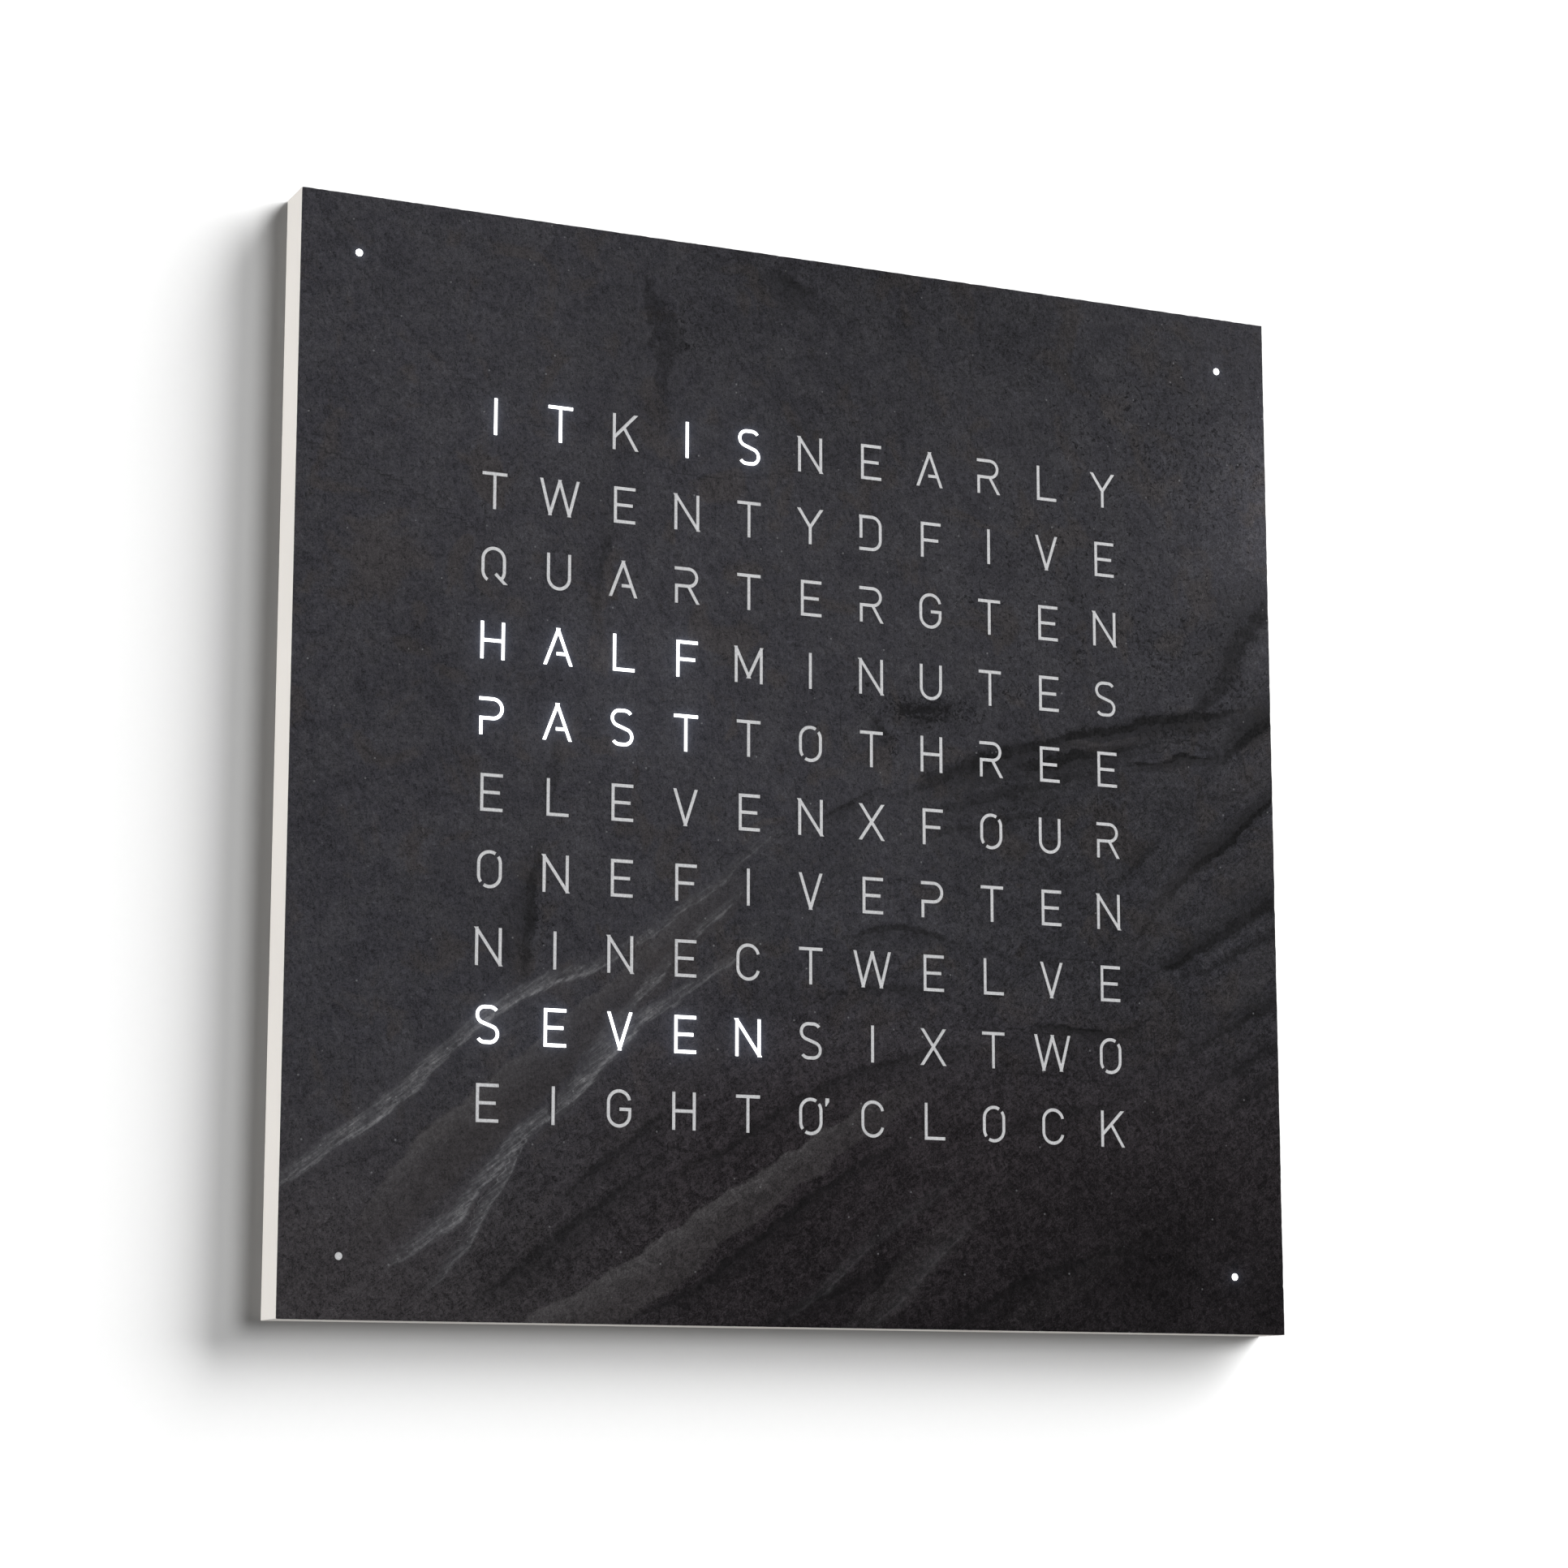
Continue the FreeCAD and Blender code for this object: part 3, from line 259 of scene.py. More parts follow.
# ---------------------------------------------------------------- slate pattern
# Lines in millimetres from the top left corner of the face: x to the right, y downwards, half width, strength
RIDGES = [
    [(-6, 401, 2.0, .5), (10, 390, 2.4, .7), (30, 376, 2.6, .95), (50, 361, 2.9, 1.0), (64, 347, 2.6, 1.0), (77, 335, 2.2, .9),
     (90, 326, 2.1, .95), (105, 318, 2.3, .9), (118, 312, 2.1, .75), (134, 304, 1.7, .5), (150, 295, 1.5, .42), (168, 283, 1.5, .42),
     (181, 272, 1.5, .4), (193, 261, 1.4, .3), (206, 250, 1.2, .15), (220, 242, 1.0, 0)],
    [(42, 430, 1.5, 0), (52, 423, 2.2, .5), (63, 415, 2.8, .8), (73, 407, 2.6, .9), (81, 397, 2.2, .95), (89, 387, 2.3, 1.0), (98, 377, 2.6, 1.0),
     (109, 369, 2.6, 1.0), (121, 359, 2.7, 1.0), (131, 348, 2.9, 1.0), (140, 337, 2.8, 1.0), (150, 327, 2.4, .9), (163, 318, 2.0, .7),
     (178, 309, 1.8, .5), (192, 299, 1.6, .35), (206, 288, 1.4, 0)],
    [(58, 440, 1.2, 0), (70, 428, 1.5, .5), (79, 414, 1.5, .6), (87, 400, 1.5, .7), (94, 388, 1.4, .6), (101, 377, 1.2, 0)],
    [(112, 366, 1.2, 0), (126, 345, 1.5, .35), (143, 324, 1.7, .45), (158, 308, 1.7, .4), (176, 291, 1.5, .4), (190, 276, 1.4, .4), (199, 262, 1.2, 0)],
    [(206, 449, 1.3, 0), (226, 437, 1.8, .10), (244, 424, 2.0, .12), (262, 408, 2.0, .12), (280, 396, 1.8, .08), (300, 382, 1.4, 0)],
    [(248, 452, 1.4, .05), (270, 432, 1.8, .14), (288, 414, 1.8, .12), (304, 399, 1.4, 0)],
    [(440, 182, 1.2, 0), (438, 168, 1.8, .10), (442, 152, 2.2, .12), (449, 140, 2.0, .10), (455, 130, 1.5, 0)],
]
BANDS = [
    [(92, 468, 10, .9), (124, 449, 10.5, .95), (154, 430, 9.5, 1.0), (178, 414, 8.6, 1.0), (202, 397, 7.6, 1.0), (222, 384, 7.0, .95), (241, 371, 6.4, .85),
     (258, 361, 5.4, .6), (272, 352, 4.2, .3), (286, 343, 3.5, 0)],
    [(30, 430, 6, 0), (48, 404, 10, .7), (66, 386, 11, .95), (86, 368, 11, .95), (104, 352, 10, .85), (124, 334, 9, .8), (144, 316, 9, .8), (164, 298, 8.5, .8),
     (184, 279, 8, .6), (198, 262, 6, 0)],
    [(240, 456, 6, .30), (262, 436, 7, .34), (284, 414, 7, .28), (300, 399, 6, .14), (318, 386, 5, 0)],
    [(300, 462, 5, .14), (330, 440, 5, .18), (356, 424, 5, .12), (384, 408, 4, .06), (410, 394, 4, 0)],
    [(118, 392, 5, 0), (150, 366, 6, .25), (178, 342, 6, .25), (206, 316, 6, 0)],
    [(420, 240, 5, 0), (400, 262, 7, .35), (380, 285, 7, .3), (365, 305, 5, 0)],
    [(452, 200, 7, .35), (428, 214, 7, .3), (408, 226, 6, 0)],
    [(452, 240, 7, .35), (430, 254, 7, .3), (410, 268, 6, 0)],
    [(452, 285, 7, .3), (430, 300, 7, .3), (408, 314, 6, 0)],
    [(340, 203, 1.6, 0), (352, 202, 2.4, .5), (366, 199, 2.4, .55), (380, 196, 2.2, .4), (394, 193, 1.6, 0)],
]
# the creases are grooves in the relief, and their colour is darkened as painted shade
CREASES = [
    [(224, 246, .7, 0), (236, 237, 1.0, .55), (248, 230, 1.0, .4), (256, 226, .9, .2), (266, 228, 1.6, .2), (278, 223, 2.2, .4), (290, 217, 2.8, .6), (302, 212, 3.2, .75),
     (312, 208, 2.6, .8), (324, 204, 2.2, .75), (336, 201, 2.0, .7), (348, 198, 2.0, .75), (362, 193.5, 2.0, .8), (376, 190, 2.0, .85), (392, 186, 1.9, .95),
     (406, 183.5, 1.7, 1.0), (418, 181.5, 1.7, .8), (428, 179.5, 1.6, .55), (436, 177, 1.2, .25), (442, 175, 1.0, 0)],
    [(312, 216, 1.8, 0), (328, 212, 2.8, .66), (342, 208.5, 2.8, .8), (354, 205, 2.4, .8), (366, 202, 2.0, .72), (378, 199, 1.5, .55), (390, 197, 1.0, .3), (400, 194, .8, 0)],
    [(372, 208, .7, 0), (382, 206.5, .8, .6), (391, 205.5, .7, .8), (398, 204, .8, .9), (404, 201, 1.1, 1.0), (409, 200.5, 1.0, .9), (416, 200.5, .6, .8), (424, 200, .6, .6),
     (432, 200, .5, 0)],
    [(268, 236, 1.4, 0), (288, 232, 2.2, .3), (308, 227, 2.6, .4), (326, 222, 2.6, .45), (344, 216, 2.4, .4), (360, 212, 2.0, .3), (376, 209, 1.4, 0)],
    [(262, 248, 1.0, 0), (284, 243, 1.6, .3), (308, 238, 1.8, .35), (332, 232, 1.6, .3), (352, 227, 1.2, 0)],
    [(456, 124, 3.2, .5), (449, 131, 3.6, .6), (442, 138, 4.0, .62), (435, 146, 4.4, .58), (431, 155, 4.6, .5), (428, 163, 4.2, .45), (422, 170, 3.4, .45), (415, 177, 2.4, .4), (408, 182, 1.4, 0)],
    [(456, 176, 2.0, .9), (449, 181, 2.4, 1.0), (442, 186, 2.6, 1.0), (435, 192, 2.2, .9), (429, 197, 1.8, .6), (422, 202, 1.4, .3), (414, 208, 1.0, 0)],
    [(456, 211, 1.0, .8), (448, 218, 1.2, .9), (440, 225, 1.2, .9), (432, 233, 1.4, .95), (424, 240, 1.6, .95), (416, 246, 1.7, .9), (410, 250, 1.4, .7), (402, 257, 1.2, .5),
     (394, 266, 1.2, .35), (384, 277, 1.2, .3), (374, 288, 1.0, 0)],
    [(398, 232, .8, 0), (390, 240, 1.2, .35), (382, 248, 1.4, .4), (374, 256, 1.2, .35), (366, 266, 1.0, .2), (358, 276, .8, 0)],
    [(456, 257, 2.4, .55), (446, 264, 2.8, .65), (436, 270, 2.6, .65), (426, 276, 2.4, .6), (416, 282, 1.9, .7), (406, 288, 1.4, .85), (398, 292, 1.1, .9), (392, 294.5, .8, .5), (386, 298, .8, 0)],
    [(456, 272, 1.4, .35), (444, 279, 1.6, .4), (432, 285, 1.4, .4), (420, 291, 1.2, .3), (406, 298, .8, 0)],
    [(456, 303, 1.6, .6), (446, 308, 1.9, .65), (436, 313, 1.7, .6), (424, 319, 1.5, .5), (410, 328, 1.2, .3), (398, 338, 1.0, 0)],
    [(456, 322, 1.6, .4), (444, 328, 2.0, .5), (432, 335, 1.8, .45), (420, 342, 1.4, .35), (406, 350, 1.0, 0)],
    [(456, 336, 1.2, .4), (442, 344, 1.4, .45), (428, 354, 1.2, .3), (414, 362, 1.0, 0)],
    [(326, 323, .5, 0), (333, 322.3, .7, .7), (342, 321.8, .8, .9), (350, 322.8, .8, .95), (358, 324, .8, .95), (366, 323.8, .7, .85), (374, 322, .6, .7), (384, 319, .5, 0)],
    [(236, 292, .8, 0), (250, 287, 1.2, .45), (266, 285, 1.4, .5), (279, 286, 1.4, .5), (290, 289, 1.2, .35), (303, 288, .8, 0)],
    [(222, 316, .8, 0), (240, 313, 1.0, .4), (256, 310, 1.1, .45), (270, 311, 1.1, .4), (286, 308, 1.0, .3), (302, 306, .8, 0)],
    [(139, 118, .8, 0), (134, 130, 1.4, .3), (131, 143, 1.6, .3), (129, 158, 1.4, .25), (131, 174, 1.0, 0)],
    [(106, 256, .8, 0), (104, 264, 1.4, .3), (103, 273, 2.0, .5), (102, 283, 2.4, .6), (101, 293, 2.6, .6), (100, 304, 2.6, .5), (99, 315, 2.0, .25), (98, 322, 1.4, 0)],
    [(114, 208, .8, 0), (112, 220, 1.6, .2), (110, 234, 1.8, .25), (107, 248, 1.8, .2), (105, 260, 1.2, 0)],
    [(112, 330, 1.4, 0), (113, 338, 2.2, .35), (116, 346, 2.2, .35), (118, 354, 1.8, .2), (120, 362, 1.2, 0)],
    [(182, 376, .8, 0), (206, 366, 1.2, .35), (232, 352, 1.4, .4), (258, 342, 1.4, .4), (284, 336, 1.2, .4), (312, 330, .8, 0)],
    [(150, 398, .8, 0), (182, 382, 1.2, .4), (210, 366, 1.2, .4), (240, 350, 1.0, 0)],
    [(132, 452, 1.0, 0), (164, 440, 1.4, .5), (190, 424, 1.4, .6), (214, 406, 1.4, .6), (236, 391, 1.2, .5), (258, 378, 1.0, .35), (280, 366, .8, 0)],
    [(196, 452, 1.2, .3), (222, 440, 1.6, .4), (250, 430, 1.6, .4), (270, 420, 1.0, 0)],
    [(76, 446, 1.0, 0), (92, 434, 1.8, .5), (110, 420, 2.0, .5), (130, 405, 1.8, .5), (150, 390, 1.4, .35), (168, 376, 1.0, 0)],
    [(112, 404, .8, 0), (126, 392, 1.4, .45), (142, 380, 1.4, .45), (160, 366, 1.2, .3), (180, 352, .8, 0)],
    [(286, 452, 1.2, .35), (312, 436, 1.6, .4), (340, 424, 1.6, .4), (370, 416, 1.4, .3), (398, 410, 1.0, 0)],
    [(300, 372, .8, 0), (326, 362, 1.2, .35), (352, 358, 1.2, .35), (380, 350, .8, 0)],
    [(264, 187, .8, 0), (268, 189.5, 1.2, .4), (273, 191.5, 1.5, .5), (279, 191, 1.2, .35), (285, 189.5, 1.4, .5), (290, 188, 1.2, .4), (294, 186, .8, 0)],
    [(270, 193, .8, 0), (276, 195, 1.0, .4), (281, 194.5, 0.9, .35), (287, 192, .8, 0)],
    [(252, 192, .8, 0), (256, 198, 1.2, .5), (261, 203, 1.2, .5), (264, 207, .8, 0)],
    [(204, 7, 1.6, 0), (212, 10, 2.6, .5), (220, 13, 2.0, .4), (228, 14, 1.2, 0)],
]
# Patches of pits, small hollows darkened as painted shade: centre x, y, half width along x, along y, strength
PITTED = [(278, 191, 24, 8, 1.0), (250, 188, 16, 9, .5), (218, 186, 12, 8, .35), (400, 60, 75, 60, .5), (350, 125, 80, 62, .42), (400, 150, 60, 40, .5),
          (330, 30, 55, 25, .35), (435, 195, 22, 14, .4), (330, 232, 42, 18, .4), (170, 38, 14, 22, .4), (106, 290, 8, 18, .5), (110, 336, 9, 22, .5),
          (430, 168, 18, 16, .62), (404, 190, 30, 10, .60), (352, 161, 14, 9, .60), (322, 180, 16, 7, .55), (300, 140, 12, 6, .5), (292, 190, 16, 8, .75), (262, 205, 8, 9, .6)]


def nearest(x, y, lines):
    """For each point the distance to the nearest line in half widths, that line's strength there, and the signed distance."""
    best = np.full(x.shape, 9.0)
    strength = np.zeros(x.shape)
    side = np.ones(x.shape)
    for line in lines:
        for (x0, y0, w0, s0), (x1, y1, w1, s1) in zip(line, line[1:]):
            dx, dy = x1 - x0, y1 - y0
            t = np.clip(((x - x0) * dx + (y - y0) * dy) / (dx * dx + dy * dy), 0, 1)
            q = np.hypot(x - x0 - t * dx, y - y0 - t * dy) / (w0 + (w1 - w0) * t)
            s = s0 + (s1 - s0) * t
            closer = q / (s + 0.05) < best / (strength + 0.05)
            best = np.where(closer, q, best)
            strength = np.where(closer, s, strength)
            # positive below and to the right of a line that climbs to the right
            side = np.where(closer, np.sign((y - y0) * dx - (x - x0) * dy), side)
    best = np.minimum(best, 6.0)
    return best, strength, best * side


def bent(line):
    """A line with points added on a smooth curve through it."""
    out = []
    n = len(line)
    for i in range(n - 1):
        p0, p1, p2, p3 = (np.array(line[j], float) for j in (max(i - 1, 0), i, i + 1, min(i + 2, n - 1)))
        for t in (0.0, 0.25, 0.5, 0.75):
            p = 0.5 * (2 * p1 + (p2 - p0) * t + (2 * p0 - 5 * p1 + 4 * p2 - p3) * t * t + (3 * p1 - p0 - 3 * p2 + p3) * t ** 3)
            out.append((p[0], p[1], max(p[2], 0.3), max(p[3], 0.0)))
    out.append(tuple(line[-1]))
    return out


RIDGES, BANDS, CREASES = ([bent(l) for l in group] for group in (RIDGES, BANDS, CREASES))


def slate_fields(px, pz):
    """Relief (millimetres into the stone from its highest plane) and the pattern's fields, from x and z in millimetres."""
    x, y = px + 225.0, 225.0 - pz
    wx = 1.7 * fbm(x, y, 15, 3, 5) + 2.6 * fbm(x, y, 48, 2, 9)
    wy = 1.7 * fbm(x, y, 15, 3, 25) + 2.6 * fbm(x, y, 48, 2, 29)
    rq, rs, rside = nearest(x + wx * 0.6, y + wy * 0.6, RIDGES)
    bq, bs, bside = nearest(x + wx * 0.9, y + wy * 0.9, BANDS)
    fx, fy = 0.9 * fbm(x, y, 4.6, 2, 45), 0.9 * fbm(x, y, 4.6, 2, 47)
    cq, cs, cside = nearest(x + wx * 0.45 + fx, y + wy * 0.45 + fy, CREASES)
    pit = np.zeros(x.shape)
    for cx, cy, rx, ry, s in PITTED:
        pit = np.maximum(pit, s * np.exp(-((x - cx) / rx) ** 2 - ((y - cy) / ry) ** 2))
    # strata run up to the right
    along = x * 0.80 - y * 0.60
    across = x * 0.60 + y * 0.80
    layered = smooth01((x + 1.6 * y - 560) / 240)
    strata = fbm(along / 5.5, across, 7.0, 4, 51, 0.55)
    crumple = fbm(x, y, 9.0, 4, 71, 0.6)
    swell = fbm(x, y, 90.0, 3, 91)
    depth = 0.19 + 0.04 * swell - 0.050 * crumple * (1 - 0.4 * layered) - 0.065 * strata * (0.25 + 0.75 * layered)
    depth -= 0.09 * rs * np.exp(-(rq / 1.3) ** 4)
    depth -= 0.07 * bs * smooth01((1.25 - bq) / 0.45)
    depth += 0.20 * cs * np.exp(-(cq / 1.0) ** 2)
    depth += 0.05 * pit * np.clip(fbm(x, y, 3.2, 2, 13) - 0.1, 0, 1)
    # a dark area near the top and the streak that hangs from it
    sway = 2.6 * fbm(x, y, 11.0, 3, 61) + 1.8 * fbm(x, y, 4.5, 2, 63)
    stain = smooth01((x - 149.0 + sway) / 3.5) * smooth01((154.0 + 0.80 * (y - 20) - x + 1.5 * sway) / 5.0) * smooth01((y - 15 + sway) / 6.0) * smooth01((48 - y + 1.6 * sway) / 5.0)
    stain = np.maximum(stain, 0.74 * smooth01((x - 152.0 + sway) / 3.0) * smooth01((163.5 - x + sway) / 3.0) * smooth01((y - 38) / 8) * smooth01((104 - y) / 52))
    # the edge of the sheet is dressed
    edge = np.minimum(np.minimum(x, 450 - x), np.minimum(y, 450 - y))
    depth += 0.10 * np.exp(-(edge / 0.35) ** 2)
    depth = np.clip(depth, 0.0, 0.62)
    # broad tone, 1 on the plain upper left, darker towards the lower right and near the top middle; it also holds a
    # painted sheen at the upper right edge
    tone = 1.0 - 0.37 * smooth01((y - 250) / 140) * smooth01((x - 40) / 190)
    tone -= 0.29 * smooth01((y - 330) / 110) * smooth01((x + 10) / 250)
    tone -= 0.22 * smooth01((x - 260) / 110) * smooth01((y - 150) / 70) * (1 - 0.50 * smooth01((y - 268) / 100))
    tone -= 0.36 * np.exp(-((x - 262) / 112) ** 2 - ((y + 5) / 74) ** 2) + 0.07 * np.exp(-((x - 262) / 60) ** 2 - ((y - 132) / 40) ** 2)
    # painted sheen: a paler patch at the upper right edge of the stone, in place of a reflection of the light
    tone += 0.47 * np.exp(-((x - 470) / 62) ** 2 - ((y - 88) / 58) ** 2) + 0.55 * np.exp(-((x - 462) / 22) ** 2 - ((y - 92) / 42) ** 2)
    tone += 0.05 * np.exp(-((x - 175) / 70) ** 2 - ((y - 175) / 60) ** 2)
    tone += 0.07 * fbm(x, y, 55.0, 3, 33)
    return depth, {"ridge_q": rq, "ridge_s": rs, "ridge_e": rside, "band_q": bq, "band_s": bs, "band_e": bside, "crease_q": cq, "crease_s": cs, "crease_e": cside,
                   "pitted": pit, "tone": np.clip(tone, 0.15, 2.2), "layered": layered, "stain": stain}


# ---------------------------------------------------------------- slate mesh
def rim_loops(data, level, tol=2e-6):
    """The closed outlines of a CAD mesh's flat face at y = level, each an (n, 2) array of x and z in millimetres."""
    co = np.empty(len(data.vertices) * 3)
    data.vertices.foreach_get("co", co)
    co = co.reshape(-1, 3)
    keys, merged = {}, np.empty(len(co), int)
    for i, p in enumerate(co):
        merged[i] = keys.setdefault(tuple(np.round(p * 1e6).astype(int)), len(keys))
    place = np.zeros((len(keys), 3))
    place[merged] = co
    flat = np.abs(place[:, 1] - level) < tol
    count = {}
    for poly in data.polygons:
        ids = [merged[v] for v in poly.vertices]
        if all(flat[i] for i in ids):
            for a, b in zip(ids, ids[1:] + ids[:1]):
                if a != b:
                    count[(a, b)] = count.get((a, b), 0) + 1
    edges = {a: b for (a, b) in count if (b, a) not in count}
    loops = []
    while edges:
        start, at = next(iter(edges.items()))
        del edges[start]
        loop = [start]
        while at != start:
            loop.append(at)
            at = edges.pop(at)
        loops.append(place[loop][:, [0, 2]] * 1000)
    return loops


def inside(px, pz, loop):
    x0, z0 = loop[:, 0], loop[:, 1]
    x1, z1 = np.roll(x0, -1), np.roll(z0, -1)
    px, pz = px[:, None], pz[:, None]
    cross = (z0 > pz) != (z1 > pz)
    with np.errstate(divide="ignore", invalid="ignore"):
        hit = px < (x1 - x0) * (pz - z0) / (z1 - z0) + x0
    return (np.sum(cross & hit, axis=1) % 2) == 1


def off_loop(px, pz, loop):
    """Distance from points to an outline."""
    a, b = loop, np.roll(loop, -1, axis=0)
    d = b - a
    p = np.stack([px, pz], 1)[:, None, :]
    t = np.clip(np.sum((p - a) * d, 2) / np.maximum(np.sum(d * d, 1), 1e-12), 0, 1)
    return np.sqrt(np.sum((p - a - t[:, :, None] * d) ** 2, 2)).min(1)


def build_slate():
    source = NODES["slate_face"].data
    low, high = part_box("slate_face")
    front, back = low.y, high.y
    loops = rim_loops(source, front)
    loops.sort(key=lambda l: -np.ptp(l[:, 0]))
    half = 225.0
    holes = loops[1:]
    n = 280
    lines = np.concatenate([[-half, -half + 0.45], np.linspace(-half, half, n + 1)[1:-1], [half - 0.45, half]])
    size = len(lines)
    gx, gz = np.meshgrid(lines, lines, indexing="ij")
    points = [np.stack([gx.ravel(), gz.ravel()], 1)]
    grid = lambda i, j: i * size + j
    cell_used = np.zeros((size - 1, size - 1), bool)
    total = size * size
    groups = {}
    for h in holes:
        c = h.mean(0)
        if abs(c[0]) > 175 or abs(c[1]) > 172:
            key = ("dot", round(c[0]), round(c[1]))
        else:
            key = (round(c[0] / PITCH_X), round(c[1] / PITCH_Z - 0.5))
        groups.setdefault(key, []).append(h)
    faces = []
    rims = []
    for key in sorted(groups, key=str):
        hs = groups[key]
        allp = np.concatenate(hs)
        i0 = int(np.searchsorted(lines, allp[:, 0].min() - 1.3)) - 1
        i1 = int(np.searchsorted(lines, allp[:, 0].max() + 1.3))
        j0 = int(np.searchsorted(lines, allp[:, 1].min() - 1.3)) - 1
        j1 = int(np.searchsorted(lines, allp[:, 1].max() + 1.3))
        cell_used[i0:i1, j0:j1] = True
        ids, pts = [], []
        for i in range(i0, i1 + 1):
            for j in range(j0, j1 + 1):
                ids.append(grid(i, j))
                pts.append((lines[i], lines[j]))
        pts = np.array(pts)
        keep = np.ones(len(pts), bool)
        for h in hs:
            keep &= ~inside(pts[:, 0], pts[:, 1], h) & (off_loop(pts[:, 0], pts[:, 1], h) > 0.45)
        ids = [v for v, k in zip(ids, keep) if k]
        pts = pts[keep]
        where = {v: k for k, v in enumerate(ids)}
        verts = [Vector(p) for p in pts]
        edges = []
        for a, b in ([(grid(i, j0), grid(i + 1, j0)) for i in range(i0, i1)] + [(grid(i, j1), grid(i + 1, j1)) for i in range(i0, i1)]
                     + [(grid(i0, j), grid(i0, j + 1)) for j in range(j0, j1)] + [(grid(i1, j), grid(i1, j + 1)) for j in range(j0, j1)]):
            edges.append((where[a], where[b]))
        for h in hs:
            first = len(verts)
            m = len(h)
            verts += [Vector(p) for p in h]
            edges += [(first + k, first + (k + 1) % m) for k in range(m)]
            ids += list(range(total, total + m))
            points.append(h)
            rims.append(np.arange(total, total + m))
            total += m
        out_v, _, out_f, orig, _, _ = geometry.delaunay_2d_cdt(verts, edges, [], 0, 1e-5, True)
        names = [ids[o[0]] for o in orig]
        mid = np.array([[sum(out_v[k][0] for k in f) / 3, sum(out_v[k][1] for k in f) / 3] for f in out_f])
        solid = np.ones(len(mid), bool)
        for h in hs:
            solid &= ~inside(mid[:, 0], mid[:, 1], h)
        for f, ok in zip(out_f, solid):
            if ok:
                faces.append(tuple(names[k] for k in f))
    free = np.argwhere(~cell_used)
    quads = [(grid(i, j), grid(i + 1, j), grid(i + 1, j + 1), grid(i, j + 1)) for i, j in free]
    pts = np.concatenate(points)
    # used vertices only
    faces = faces + quads
    used = np.unique(np.array([v for f in faces for v in f]))
    new = -np.ones(len(pts), int)
    new[used] = np.arange(len(used))
    faces = [tuple(int(new[v]) for v in f) for f in faces]
    rims = [new[r] for r in rims]
    outer = ([new[grid(i, 0)] for i in range(size)] + [new[grid(size - 1, j)] for j in range(1, size)]
             + [new[grid(i, size - 1)] for i in range(size - 2, -1, -1)] + [new[grid(0, j)] for j in range(size - 2, 0, -1)])
    px, pz = pts[used, 0].copy(), pts[used, 1].copy()
    depth, fields = slate_fields(px, pz)
    # the sawn outer edge has small chips
    for axis, p, q in ((0, px, pz), (1, pz, px)):
        on = np.abs(np.abs(p) - half) < 1e-6
        chip = 0.05 + 0.10 * np.clip(fbm(q[on], p[on] * 0 + 3.1 * axis + np.sign(p[on]) * 7, 5.0, 3, 61), -0.4, 1) \
            + 0.35 * np.clip(fbm(q[on], np.sign(p[on]) * 13 + axis, 2.6, 2, 63) - 0.42, 0, 1)
        p[on] -= np.sign(p[on]) * np.clip(chip, 0.0, 0.35)
    count = len(used)
    for ring in rims:
        depth[ring] = np.minimum(depth[ring], 0.24)
    co = np.stack([px / 1000, front + depth / 1000, pz / 1000], 1)
    rim_all = np.concatenate([np.array(outer)] + [np.array(r) for r in rims])
    back_of = {int(v): count + k for k, v in enumerate(rim_all)}
    back_co = co[rim_all].copy()
    back_co[:, 1] = back
    co = np.concatenate([co, back_co])
    # all front faces look along -Y
    def facing(f):
        a, b, c = (co[v] for v in f[:3])
        return (b[2] - a[2]) * (c[0] - a[0]) - (b[0] - a[0]) * (c[2] - a[2]) < 0
    faces = [f if facing(f) else tuple(reversed(f)) for f in faces]
    directed = set()
    for f in faces:
        for a, b in zip(f, f[1:] + f[:1]):
            directed.add((a, b))
    for ring in [outer] + rims:
        ring = [int(v) for v in ring]
        for a, b in zip(ring, ring[1:] + ring[:1]):
            if (a, b) in directed:
                faces.append((b, a, back_of[a], back_of[b]))
            else:
                faces.append((a, b, back_of[b], back_of[a]))
    # back face, on the rims only
    verts, edges, names = [], [], []
    for ring in [outer] + rims:
        first = len(verts)
        ring = [int(v) for v in ring]
        verts += [Vector((co[v][0] * 1000, co[v][2] * 1000)) for v in ring]
        names += [back_of[v] for v in ring]
        edges += [(first + k, first + (k + 1) % len(ring)) for k in range(len(ring))]
    out_v, _, out_f, orig, _, _ = geometry.delaunay_2d_cdt(verts, edges, [], 0, 1e-6, True)
    mid = np.array([[sum(out_v[k][0] for k in f) / 3, sum(out_v[k][1] for k in f) / 3] for f in out_f])
    solid = np.ones(len(mid), bool)
    for h in holes:
        lo, hi = h.min(0), h.max(0)
        near = np.where((mid[:, 0] > lo[0]) & (mid[:, 0] < hi[0]) & (mid[:, 1] > lo[1]) & (mid[:, 1] < hi[1]))[0]
        if len(near):
            solid[near] &= ~inside(mid[near, 0], mid[near, 1], h)
    for f, ok in zip(out_f, solid):
        if ok:
            g = tuple(names[orig[k][0]] for k in f)
            faces.append(tuple(reversed(g)) if facing(g) else g)
    mesh = bpy.data.meshes.new("slate_stone")
    mesh.from_pydata([tuple(p) for p in co], [], faces)
    mesh.validate()
    for name, values in fields.items():
        at = mesh.attributes.new(name, "FLOAT", "POINT")
        both = np.concatenate([values, values[rim_all]]).astype(np.float32)
        at.data.foreach_set("value", both)
    mesh.polygons.foreach_set("use_smooth", np.ones(len(mesh.polygons), bool))
    mesh.set_sharp_from_angle(angle=math.radians(38))
    mesh.update()
    piece = bpy.data.objects.new("slate_stone", mesh)
    bpy.context.scene.collection.objects.link(piece)
    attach(piece, "front_cover")
    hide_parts("slate_face")
    return piece


